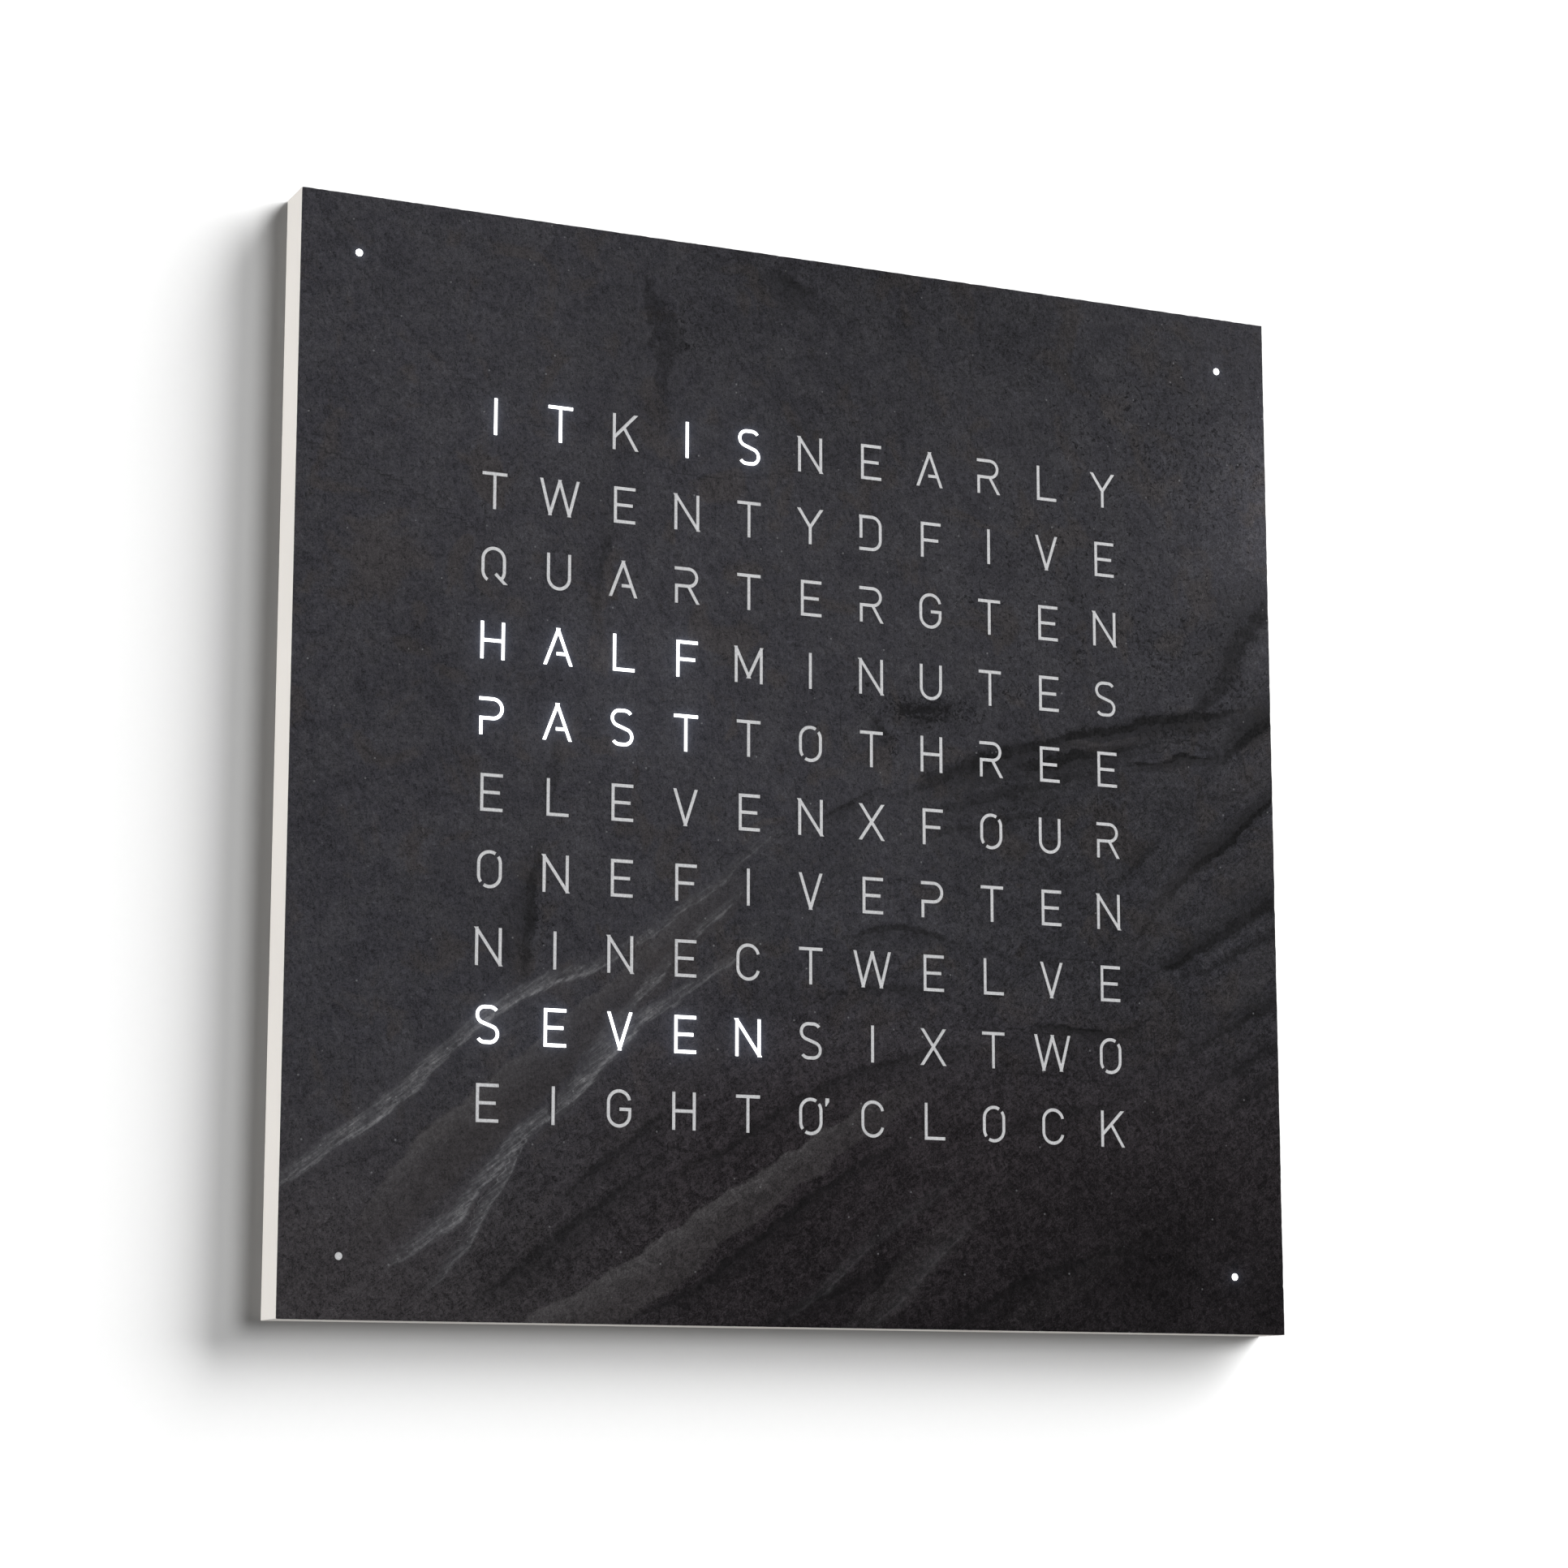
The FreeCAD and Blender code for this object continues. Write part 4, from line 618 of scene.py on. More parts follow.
def slate_material():
    g = Graph("slate_procedural")
    x, y, z = g.xyz()
    co = g.co()
    # coordinates along and across the strata, across the face
    along = g.m("ADD", g.m("MULTIPLY", x, 0.80), g.m("MULTIPLY", z, 0.60))
    across = g.m("SUBTRACT", g.m("MULTIPLY", x, 0.60), g.m("MULTIPLY", z, 0.80))
    layered = g.attr("layered")
    warp = g.noise(size=5.5, detail=2, color=True)
    wco = g.vadd(co, g.vscale(warp, 1.9))
    # cleft surface: short crumpled fibres, seen as the lit and the shaded side of small steps
    fibre = g.noise(g.vec(g.m("MULTIPLY", along, 0.16), y, across), size=1.25, detail=5, rough=0.62, dist=0.6)
    steep = g.noise(g.map(wco, scale=(1.0, 1, 0.46), rot=(0, math.radians(20), 0)), size=1.7, detail=5, rough=0.68, dist=1.0)
    here = g.map(wco, scale=(1.0, 1, 0.62), rot=(0, math.radians(18), 0))
    there = g.map(wco, scale=(1.0, 1, 0.62), rot=(0, math.radians(18), 0), loc=(0.55, 0.0, 0.40))
    emboss = g.m("SUBTRACT", g.noise(here, size=2.3, detail=6, rough=0.74, dist=0.7), g.noise(there, size=2.3, detail=6, rough=0.74, dist=0.7))
    flow_here = g.vec(g.m("MULTIPLY", along, 0.30), y, across)
    flow_there = g.vadd(flow_here, (0.0, 0.0, 0.5))
    flow = g.m("SUBTRACT", g.noise(flow_here, size=2.6, detail=5, rough=0.66, dist=1.5), g.noise(flow_there, size=2.6, detail=5, rough=0.66, dist=1.5))
    grain = g.noise(wco, size=1.5, detail=5, rough=0.72, dist=0.5)
    micro = g.noise(size=0.55, detail=2, rough=0.6)
    patch = g.noise(size=13, detail=5, rough=0.58, dist=0.9)
    broad = g.noise(size=22, detail=4, rough=0.55, dist=0.6)
    mottle = g.lerp(g.m("MULTIPLY", layered, 0.45), steep, fibre)
    # the small steps' painted light and shade, added to the colour below
    painted_step_shade = g.lerp(g.m("MULTIPLY", layered, 0.45), emboss, flow)
    spread = lambda v, k: g.m("MULTIPLY", g.m("SUBTRACT", v, 0.5), k)
    plate = g.noise(wco, size=4.2, detail=6, rough=0.66, dist=1.1)
    level_a = g.rng(plate, 0.46, 0.54)
    level_b = g.rng(g.noise(g.vadd(wco, (31.0, 0.0, 17.0)), size=1.9, detail=5, rough=0.66, dist=0.9), 0.44, 0.56)
    thread = g.noise(g.vadd(wco, (7.0, 0.0, 53.0)), size=3.0, detail=5, rough=0.60, dist=1.4)
    # thin cracks, painted darker as the shade inside them; the hairlines below are paler
    crack = g.m("MULTIPLY", g.rng(g.m("ABSOLUTE", g.m("SUBTRACT", thread, 0.5)), 0.020, 0.004), g.rng(patch, 0.47, 0.58))
    hair = g.m("MULTIPLY", g.rng(g.m("ABSOLUTE", g.m("SUBTRACT", plate, 0.56)), 0.018, 0.003), g.rng(grain, 0.47, 0.56))
    gain = g.m("ADD", 1.0, spread(mottle, 0.55))
    gain = g.m("ADD", gain, g.m("MULTIPLY", painted_step_shade, g.lerp(layered, 1.35, 1.95)))
    gain = g.m("ADD", gain, spread(grain, 1.35))
    gain = g.m("ADD", gain, spread(patch, 0.85))
    gain = g.m("ADD", gain, spread(micro, g.lerp(layered, 1.7, 1.9)))
    gain = g.m("ADD", gain, g.m("ADD", spread(level_a, g.lerp(layered, 0.15, 0.25)), spread(level_b, g.lerp(layered, 0.17, 0.22))))
    gain = g.m("SUBTRACT", gain, g.m("MULTIPLY", crack, g.lerp(layered, 0.46, 0.74)))
    gain = g.m("ADD", gain, g.m("MULTIPLY", hair, g.lerp(layered, 0.36, 0.56)))
    deepen = g.rng(g.attr("tone"), 0.95, 0.20, 1.0, 2.15, smooth=False)
    gain = g.m("ADD", 1.0, g.m("MULTIPLY", g.m("SUBTRACT", gain, 1.0), deepen))
    gain = g.m("MAXIMUM", gain, 0.24)
    # masks with broken edges
    ragged = spread(fibre, 2.4)
    ragged2 = spread(grain, 1.7)
    streak = g.noise(g.vec(g.m("MULTIPLY", along, 0.10), y, across), size=0.85, detail=4, rough=0.65, dist=0.3)
    rq = g.m("ADD", g.attr("ridge_q"), g.m("ADD", g.m("MULTIPLY", ragged, 0.55), g.m("MULTIPLY", ragged2, 0.45)))
    ridge = g.m("MULTIPLY", g.rng(rq, 1.75, 0.75), g.attr("ridge_s"), clamp=True)
    halo = g.m("MULTIPLY", g.rng(g.attr("ridge_q"), 4.2, 1.0), g.attr("ridge_s"))
    # painted highlight: a pale line along one side of each ridge
    painted_ridge_highlight = g.m("MULTIPLY", g.rng(g.m("ABSOLUTE", g.m("SUBTRACT", g.m("ADD", g.attr("ridge_e"), g.m("MULTIPLY", ragged, 0.25)), 0.75)), 0.50, 0.08), g.attr("ridge_s"))
    bq = g.m("ADD", g.attr("band_q"), g.m("ADD", g.m("MULTIPLY", ragged, 0.12), g.m("MULTIPLY", spread(patch, 1.0), 0.3)))
    band = g.m("MULTIPLY", g.rng(bq, 1.08, 0.90), g.attr("band_s"), clamp=True)
    # painted highlight: the upper left side of each bed is made paler
    painted_bed_highlight = g.m("MULTIPLY", g.rng(g.m("ADD", g.attr("band_e"), g.m("MULTIPLY", ragged, 0.12)), 0.2, -0.95), band)
    torn = g.noise(wco, size=2.4, detail=5, rough=0.72, dist=0.8)
    # creases: the mask of the painted shade in the grooves
    cq = g.m("ADD", g.attr("crease_q"), g.m("ADD", g.m("MULTIPLY", ragged, 0.30), g.m("ADD", g.m("MULTIPLY", ragged2, 0.5), spread(torn, 2.7))))
    worn = g.rng(g.noise(wco, size=7.0, detail=4, rough=0.62), 0.36, 0.54, 0.62, 1.15)
    crease = g.m("MULTIPLY", g.m("MULTIPLY", g.rng(g.m("ADD", cq, g.m("MULTIPLY", g.attr("crease_e"), 0.12)), 1.22, 0.66), g.attr("crease_s")), worn, clamp=True)
    # below a crease the stone stays shaded for a while
    below = g.m("MULTIPLY", g.rng(g.m("ADD", g.attr("crease_e"), spread(torn, 3.2)), 7.6, 0.6), g.rng(g.attr("crease_e"), -1.2, -0.4))
    above = g.rng(g.attr("crease_q"), 2.6, 0.6)
    shade = g.m("MULTIPLY", g.m("MAXIMUM", below, g.m("MULTIPLY", above, 0.7)), g.attr("crease_s"))
    # pits: small hollows, painted dark as the shade inside them
    pitnoise = g.noise(wco, size=1.9, detail=6, rough=0.74, dist=0.8)
    level = g.rng(g.attr("pitted"), 0.0, 1.0, 0.345, 0.535, smooth=False)
    pit = g.rng(g.m("SUBTRACT", level, pitnoise), -0.008, 0.024)
    # a few mineral glints
    spot = g.voronoi(size=1.9, out="Distance")
    pick = g.voronoi(size=1.9, out="Color")
    sep = g.new("ShaderNodeSeparateColor")
    g.put(sep.inputs[0], pick)
    rare = g.m("GREATER_THAN", sep.outputs[0], g.lerp(g.m("MULTIPLY", ridge, 0.9), 0.990, 0.90))
    glint = g.m("MULTIPLY", g.m("MULTIPLY", rare, g.rng(spot, 0.30, 0.10)), g.rng(sep.outputs[1], 0.0, 1.0, 0.25, 1.0))
    # colour
    base = g.mix(g.rng(patch, 0.40, 0.62), (0.0376, 0.0368, 0.0436), (0.0418, 0.0409, 0.0466))
    base = g.mix(g.m("MULTIPLY", g.rng(broad, 0.54, 0.64), 0.8), base, (0.0448, 0.0406, 0.0416))
    base = g.mix(g.rng(z, -0.10e3, -0.225e3), base, (0.0412, 0.0376, 0.0404))
    base = g.mix(g.m("MULTIPLY", g.rng(z, -60.0, -170.0), g.rng(x, -150.0, 0.0)), base, (0.0436, 0.0366, 0.0412))
    col = g.mix(1.0, base, g.vec(gain, gain, gain), "MULTIPLY")
    # the tone field includes the painted sheen at the upper right edge
    tone = g.attr("tone")
    # painted shade: the creases, and the stone below them, are darkened where shade falls
    dark = g.mix(g.rng(grain, 0.40, 0.60), (0.0062, 0.0062, 0.0066), (0.0175, 0.0172, 0.0182))
    col = g.mix(g.m("MULTIPLY", shade, 0.78), col, (0.0142, 0.0138, 0.0150))
    col = g.mix(g.m("MULTIPLY", crease, 0.96), col, dark)
    # painted shade inside the pits
    col = g.mix(g.m("MULTIPLY", pit, 0.88), col, (0.0095, 0.0092, 0.0105))
    stain = g.rng(g.m("ADD", g.attr("stain"), spread(torn, 2.1)), 0.28, 0.70, 1.0, 0.64)
    tone = g.m("MULTIPLY", tone, stain)
    col = g.mix(1.0, col, g.vec(tone, tone, tone), "MULTIPLY")
    calm = g.m("ADD", 1.0, g.m("MULTIPLY", g.m("SUBTRACT", gain, 1.0), 0.55))
    # the raised beds are paler and a little warm, with a painted highlight on their upper left side; the veins grey
    # with pale grains
    bed = g.mix(1.0, g.mix(painted_bed_highlight, (0.0385, 0.0350, 0.0362), (0.0660, 0.0622, 0.0640)), g.vec(calm, calm, calm), "MULTIPLY")
    col = g.mix(g.m("MULTIPLY", band, 0.76), col, bed)
    col = g.mix(g.m("MULTIPLY", halo, 0.16), col, (0.068, 0.067, 0.075))
    grains = g.m("ADD", g.m("MULTIPLY", streak, 0.40), g.m("ADD", g.m("MULTIPLY", grain, 0.34), g.m("MULTIPLY", patch, 0.26)))
    light = g.ramp(g.rng(grains, 0.395, 0.625, 0.0, 1.0, smooth=False), [(0.0, (0.034, 0.034, 0.037)), (0.45, (0.078, 0.077, 0.083)), (0.75, (0.130, 0.129, 0.135)), (1.0, (0.26, 0.26, 0.265))])
    col = g.mix(g.m("MULTIPLY", ridge, 0.74), col, light)
    # the painted highlight along one side of the ridges
    col = g.mix(g.m("MULTIPLY", painted_ridge_highlight, g.rng(grains, 0.42, 0.60, 0.05, 0.55)), col, (0.215, 0.214, 0.222))
    col = g.mix(g.m("MULTIPLY", glint, 0.70), col, (0.24, 0.24, 0.25))
    height = g.m("ADD", g.m("MULTIPLY", mottle, 0.42), g.m("ADD", g.m("MULTIPLY", grain, 0.42), g.m("MULTIPLY", micro, 0.20)))
    height = g.m("ADD", height, g.m("ADD", g.m("MULTIPLY", level_a, 0.10), g.m("MULTIPLY", level_b, 0.07)))
    height = g.m("SUBTRACT", height, g.m("MULTIPLY", crack, 0.12))
    height = g.m("SUBTRACT", height, g.m("MULTIPLY", pit, 0.40))
    height = g.m("SUBTRACT", height, g.m("MULTIPLY", crease, 0.45))
    height = g.m("ADD", height, g.m("MULTIPLY", ridge, 0.16))
    normal = g.bump(height, mm=0.34, strength=0.9)
    rough = g.m("ADD", g.rng(grain, 0.38, 0.62, 0.38, 0.50, smooth=False), g.m("MULTIPLY", crease, 0.2))
    rough = g.m("SUBTRACT", rough, g.m("MULTIPLY", glint, 0.2))
    return g.set(color=col, rough=rough, spec=0.045, normal=normal)


# ---------------------------------------------------------------- masks for lit cells
def lit_mask(g, edge=11.0):
    """1 in the lit letter cells and at the lit dots, from the place on the face."""
    x, _, z = g.xyz()
    total = None
    for c0, c1, r0, r1 in LIT:
        cx, cz = PITCH_X * ((c0 + c1) / 2 - 5), PITCH_Z * (4.5 - (r0 + r1) / 2)
        hx, hz = PITCH_X * (c1 - c0) / 2 + edge, PITCH_Z * (r1 - r0) / 2 + edge
        a = g.m("LESS_THAN", g.m("ABSOLUTE", g.m("SUBTRACT", x, cx)), hx)
        b = g.m("LESS_THAN", g.m("ABSOLUTE", g.m("SUBTRACT", z, cz)), hz)
        both = g.m("MULTIPLY", a, b)
        total = both if total is None else g.m("ADD", total, both, clamp=True)
    for sx, sz in LIT_DOTS:
        a = g.m("LESS_THAN", g.m("ABSOLUTE", g.m("SUBTRACT", x, sx * DOT)), 6.0)
        b = g.m("LESS_THAN", g.m("ABSOLUTE", g.m("SUBTRACT", z, sz * DOT)), 6.0)
        total = g.m("ADD", total, g.m("MULTIPLY", a, b), clamp=True)
    return total


def film_material():
    """Opal film; where a cell is on, its raised letters glow with emission painted on the film, in place of the light
    of the LEDs behind it.
    """
    g = Graph("opal_film_procedural")
    _, y, _ = g.xyz()
    # the glow is emission painted on the film, standing in for the LEDs' light
    mask = g.m("MULTIPLY", lit_mask(g), g.m("LESS_THAN", y, -19.1))
    cloud = g.noise(size=0.9, detail=4, rough=0.65)
    fine = g.noise(size=0.30, detail=3, rough=0.6)
    tex = g.m("ADD", g.m("MULTIPLY", cloud, 0.6), g.m("MULTIPLY", fine, 0.4))
    col = g.mix(g.rng(tex, 0.36, 0.64, smooth=False), (0.51, 0.508, 0.516), (0.738, 0.740, 0.753))
    rough = g.rng(fine, 0.3, 0.7, 0.50, 0.66, smooth=False)
    g.set(color=col, rough=rough, spec=0.25, normal=g.bump(tex, mm=0.05, strength=0.6),
          emit=g.mix(g.rng(cloud, 0.3, 0.7), (0.95, 0.97, 1.0), (1.0, 1.0, 1.0)), emit_power=g.m("MULTIPLY", mask, 2.6))
    return g.mat


# ---------------------------------------------------------------- finishes by slot
def coated(name, color, grain=0.9, depth=0.02, rough=(0.42, 0.52), spec=0.4, drift=0.03, bevel=0.25, peel=2.2):
    """Painted or powder coated metal: fine orange peel, faint drift of tone."""
    g = Graph(name)
    big = g.noise(size=60, detail=4, rough=0.55)
    peel_n = g.noise(size=peel, detail=3, rough=0.5)
    fine = g.noise(size=grain, detail=3, rough=0.6)
    lo = tuple(c * (1 - drift) for c in color)
    hi = tuple(min(1, c * (1 + drift)) for c in color)
    col = g.mix(g.rng(big, 0.35, 0.65), lo, hi)
    dust = g.rng(g.noise(size=8, detail=6, rough=0.7), 0.60, 0.78)
    col = g.mix(g.m("MULTIPLY", dust, 0.10), col, tuple(c * 0.86 for c in color))
    h = g.m("ADD", g.m("MULTIPLY", peel_n, 0.7), g.m("MULTIPLY", fine, 0.45))
    n = g.bump(h, mm=depth, strength=0.8, normal=g.bevel(bevel) if bevel else None)
    return g.set(color=col, rough=g.rng(fine, 0.35, 0.65, rough[0], rough[1], smooth=False), spec=spec, normal=n)


def metal(name, color, rough=(0.28, 0.42), streak=(0.05, 1, 1), size=0.5, drift=0.08, depth=0.006, stain=0.25, stain_color=None, bevel=0.12, aniso=0.0):
    """Rolled, turned or plated metal: streaks along the way it was worked, slight stains."""
    g = Graph(name)
    s = g.noise(g.map(scale=streak), size=size, detail=4, rough=0.6)
    cloud = g.noise(size=14, detail=5, rough=0.6, dist=0.4)
    spots = g.noise(size=2.2, detail=4, rough=0.7)
    lo = tuple(c * (1 - drift) for c in color)
    hi = tuple(min(1, c * (1 + drift)) for c in color)
    col = g.mix(g.rng(s, 0.35, 0.65), lo, hi)
    col = g.mix(g.m("MULTIPLY", g.rng(cloud, 0.45, 0.70), stain), col, stain_color or tuple(c * 0.72 for c in color))
    r = g.m("ADD", g.rng(s, 0.3, 0.7, rough[0], rough[1], smooth=False), g.m("MULTIPLY", g.rng(spots, 0.55, 0.75), 0.08))
    n = g.bump(s, mm=depth, strength=0.7, normal=g.bevel(bevel) if bevel else None)
    g.bsdf.inputs["Anisotropic"].default_value = aniso
    return g.set(color=col, metal=1.0, rough=r, normal=n)


def moulded(name, color, rough=(0.40, 0.55), grain=0.35, depth=0.02, drift=0.06, spec=0.4, bevel=0.15, dust=0.08, dust_color=(0.5, 0.48, 0.45)):
    """Moulded plastic or rubber with a fine spark-eroded grain and a little dust."""
    g = Graph(name)
    fine = g.noise(size=grain, detail=4, rough=0.6)
    cells = g.voronoi(size=grain * 2.2, feature="SMOOTH_F1")
    cloud = g.noise(size=9, detail=5, rough=0.6)
    col = g.mix(g.rng(cloud, 0.35, 0.65), tuple(c * (1 - drift) for c in color), tuple(min(1, c * (1 + drift)) for c in color))
    d = g.rng(g.noise(size=1.4, detail=5, rough=0.75), 0.56, 0.78)
    col = g.mix(g.m("MULTIPLY", d, dust), col, dust_color)
    h = g.m("ADD", g.m("MULTIPLY", fine, 0.6), g.m("MULTIPLY", cells, 0.5))
    n = g.bump(h, mm=depth, strength=0.8, normal=g.bevel(bevel) if bevel else None)
    return g.set(color=col, rough=g.rng(fine, 0.35, 0.65, rough[0], rough[1], smooth=False), spec=spec, normal=n)


def board(name, mask, trace, copper_depth=0.035, pitch=2.54, gloss=(0.22, 0.34)):
    """Circuit board: solder mask over copper tracks, which stand a little proud, and small tinned vias."""
    g = Graph(name)
    x, y, z = g.xyz()
    # tracks run along one direction in each tile and turn in the next
    tile = g.noise(size=26, detail=1)
    turn = g.m("GREATER_THAN", tile, 0.5)
    u = g.lerp(turn, x, z)
    v = g.lerp(turn, z, x)
    bend = g.m("MULTIPLY", g.m("SUBTRACT", g.noise(g.vec(g.m("MULTIPLY", u, 0.06), 0.0, g.m("MULTIPLY", v, 0.02)), size=1.0, detail=0), 0.5), 9.0)
    row = g.m("DIVIDE", g.m("ADD", v, bend), 1.27)
    frac = g.m("ABSOLUTE", g.m("SUBTRACT", g.m("FRACT", row), 0.5))
    here = g.m("GREATER_THAN", g.noise(g.vec(g.m("MULTIPLY", u, 0.035), 0.0, g.m("FLOOR", row)), size=1.0, detail=0), 0.47)
    line = g.m("MULTIPLY", g.rng(frac, 0.24, 0.17), here)
    vx = g.m("SUBTRACT", g.m("FRACT", g.m("DIVIDE", x, pitch)), 0.5)
    vz = g.m("SUBTRACT", g.m("FRACT", g.m("DIVIDE", z, pitch)), 0.5)
    r = g.m("SQRT", g.m("ADD", g.m("MULTIPLY", vx, vx), g.m("MULTIPLY", vz, vz)))
    chosen = g.m("GREATER_THAN", g.noise(g.vec(g.m("FLOOR", g.m("DIVIDE", x, pitch)), 7.3, g.m("FLOOR", g.m("DIVIDE", z, pitch))), size=1.7, detail=0), 0.66)
    via = g.m("MULTIPLY", g.rng(r, 0.19, 0.16), chosen)
    hole = g.m("MULTIPLY", g.rng(r, 0.085, 0.065), chosen)
    cloud = g.noise(size=22, detail=4)
    weave = g.m("ADD", g.m("SINE", g.m("MULTIPLY", x, 9.0)), g.m("SINE", g.m("MULTIPLY", z, 9.0)))
    col = g.mix(g.rng(cloud, 0.35, 0.65), tuple(c * 0.92 for c in mask), tuple(min(1, c * 1.06) for c in mask))
    col = g.mix(g.m("MULTIPLY", g.rng(weave, -2, 2), 0.06), col, tuple(c * 0.7 for c in mask))
    col = g.mix(line, col, trace)
    col = g.mix(via, col, (0.60, 0.57, 0.50))
    # painted shade: the via holes are coloured near black for the shade inside them
    col = g.mix(hole, col, (0.02, 0.018, 0.015))
    h = g.m("SUBTRACT", g.m("ADD", line, g.m("MULTIPLY", via, 0.8)), g.m("MULTIPLY", hole, 2.0))
    n = g.bump(h, mm=copper_depth, strength=0.9, normal=g.bevel(0.1))
    return g.set(color=col, rough=g.rng(cloud, 0.3, 0.7, gloss[0], gloss[1], smooth=False), spec=0.5, normal=n,
                 metal=g.m("MULTIPLY", via, g.m("SUBTRACT", 1.0, hole)))


def led_material():
    """Moulded white body with a yellow phosphor well; the wells of lit letters glow."""
    g = Graph("led_procedural")
    x, y, z = g.xyz()
    far = g.m("GREATER_THAN", g.m("MAXIMUM", g.m("ABSOLUTE", x), g.m("ABSOLUTE", z)), 176.0)
    fx = g.m("MULTIPLY", g.m("SUBTRACT", g.m("FRACT", g.m("ADD", g.m("DIVIDE", x, PITCH_X), 0.5)), 0.5), PITCH_X)
    fz = g.m("MULTIPLY", g.m("SUBTRACT", g.m("FRACT", g.m("ADD", g.m("DIVIDE", z, PITCH_Z), 0.0)), 0.5), PITCH_Z)
    dx = g.lerp(far, fx, g.m("SUBTRACT", g.m("ABSOLUTE", x), DOT))
    dz = g.lerp(far, fz, g.m("SUBTRACT", g.m("ABSOLUTE", z), DOT))
    r = g.m("SQRT", g.m("ADD", g.m("MULTIPLY", dx, dx), g.m("MULTIPLY", dz, dz)))
    well = g.rng(r, 2.02, 1.94)
    die = g.m("MULTIPLY", g.m("LESS_THAN", g.m("ABSOLUTE", dx), 0.45), g.m("LESS_THAN", g.m("ABSOLUTE", dz), 0.45))
    fine = g.noise(size=0.4, detail=3)
    col = g.mix(g.rng(fine, 0.3, 0.7), (0.76, 0.75, 0.70), (0.86, 0.85, 0.80))
    col = g.mix(well, col, g.mix(g.rng(fine, 0.3, 0.7), (0.74, 0.55, 0.08), (0.86, 0.68, 0.16)))
    col = g.mix(g.m("MULTIPLY", die, 0.6), col, (0.55, 0.45, 0.12))
    g.set(color=col, rough=g.lerp(well, 0.45, 0.18), spec=0.5, normal=g.bump(fine, mm=0.012, strength=0.7, normal=g.bevel(0.08)),
          emit=(0.90, 0.95, 1.0), emit_power=g.m("MULTIPLY", g.m("MULTIPLY", well, lit_mask(g)), 14.0))
    return g.mat


def ribbon_material():
    g = Graph("ribbon_procedural")
    x, y, z = g.xyz()
    wave = g.m("ABSOLUTE", g.m("SINE", g.m("MULTIPLY", x, math.pi / 1.27)))
    fine = g.noise(size=0.8, detail=3)
    # painted shade: the grooves between the wires are darker, the ridges paler
    col = g.mix(g.rng(wave, 0.0, 0.5), (0.16, 0.16, 0.17), (0.46, 0.46, 0.48))
    red = g.m("LESS_THAN", x, 4.9)
    col = g.mix(g.m("MULTIPLY", red, 0.85), col, (0.42, 0.05, 0.04))
    return g.set(color=col, rough=g.rng(fine, 0.3, 0.7, 0.38, 0.5, smooth=False), spec=0.4, normal=g.bump(g.m("POWER", wave, 0.6), mm=0.5, strength=0.8))


def coil_material():
    g = Graph("coil_procedural")
    x, y, z = g.xyz()
    turn = g.m("ABSOLUTE", g.m("SINE", g.m("MULTIPLY", g.m("ADD", x, g.m("MULTIPLY", g.noise(size=3, detail=1), 0.25)), math.pi / 0.36)))
    fine = g.noise(size=0.7, detail=3)
    # painted shade: the grooves between the turns are dark, the crowns of the turns copper
    col = g.mix(g.rng(turn, 0.0, 0.7), (0.16, 0.055, 0.02), (0.66, 0.28, 0.11))
    col = g.mix(g.rng(fine, 0.55, 0.75), col, (0.48, 0.17, 0.06))
    return g.set(color=col, metal=0.85, rough=g.rng(fine, 0.3, 0.7, 0.24, 0.36, smooth=False), normal=g.bump(g.m("POWER", turn, 0.7), mm=0.14, strength=1.0),
                 coat=0.5, coat_rough=0.12)


def ferrite_material():
    g = Graph("ferrite_procedural")
    speck = g.voronoi(size=0.5, out="Distance")
    cloud = g.noise(size=3.5, detail=5, rough=0.65)
    col = g.mix(g.rng(cloud, 0.35, 0.65), (0.045, 0.043, 0.042), (0.085, 0.080, 0.078))
    col = g.mix(g.rng(speck, 0.25, 0.1), col, (0.13, 0.125, 0.12))
    return g.set(color=col, rough=g.rng(cloud, 0.3, 0.7, 0.50, 0.68, smooth=False), spec=0.4, normal=g.bump(cloud, mm=0.05, strength=0.8, normal=g.bevel(0.3)))


def cell_material():
    """Coin cell: circular lapping marks around its middle."""
    g = Graph("cell_procedural")
    x, y, z = g.xyz()
    dx, dz = g.m("SUBTRACT", x, 51.0), g.m("ADD", z, 190.0)
    r = g.m("SQRT", g.m("ADD", g.m("MULTIPLY", dx, dx), g.m("MULTIPLY", dz, dz)))
    rings = g.noise(g.vec(g.m("MULTIPLY", r, 7.0), y, 0.0), size=1.0, detail=3)
    cloud = g.noise(size=5, detail=4)
    col = g.mix(g.rng(rings, 0.3, 0.7), (0.60, 0.595, 0.585), (0.74, 0.735, 0.72))
    col = g.mix(g.m("MULTIPLY", g.rng(cloud, 0.5, 0.7), 0.2), col, (0.50, 0.47, 0.42))
    rim = g.rng(g.m("ABSOLUTE", g.m("SUBTRACT", r, 8.3)), 0.35, 0.15)
    return g.set(color=col, metal=1.0, rough=g.rng(rings, 0.3, 0.7, 0.20, 0.34, smooth=False),
                 normal=g.bump(g.m("SUBTRACT", g.m("MULTIPLY", rings, 0.25), rim), mm=0.08, strength=0.8, normal=g.bevel(0.2)))


def rubber(name, color):
    return moulded(name, color, rough=(0.62, 0.78), grain=0.5, depth=0.03, drift=0.12, spec=0.3, bevel=0.3, dust=0.22)


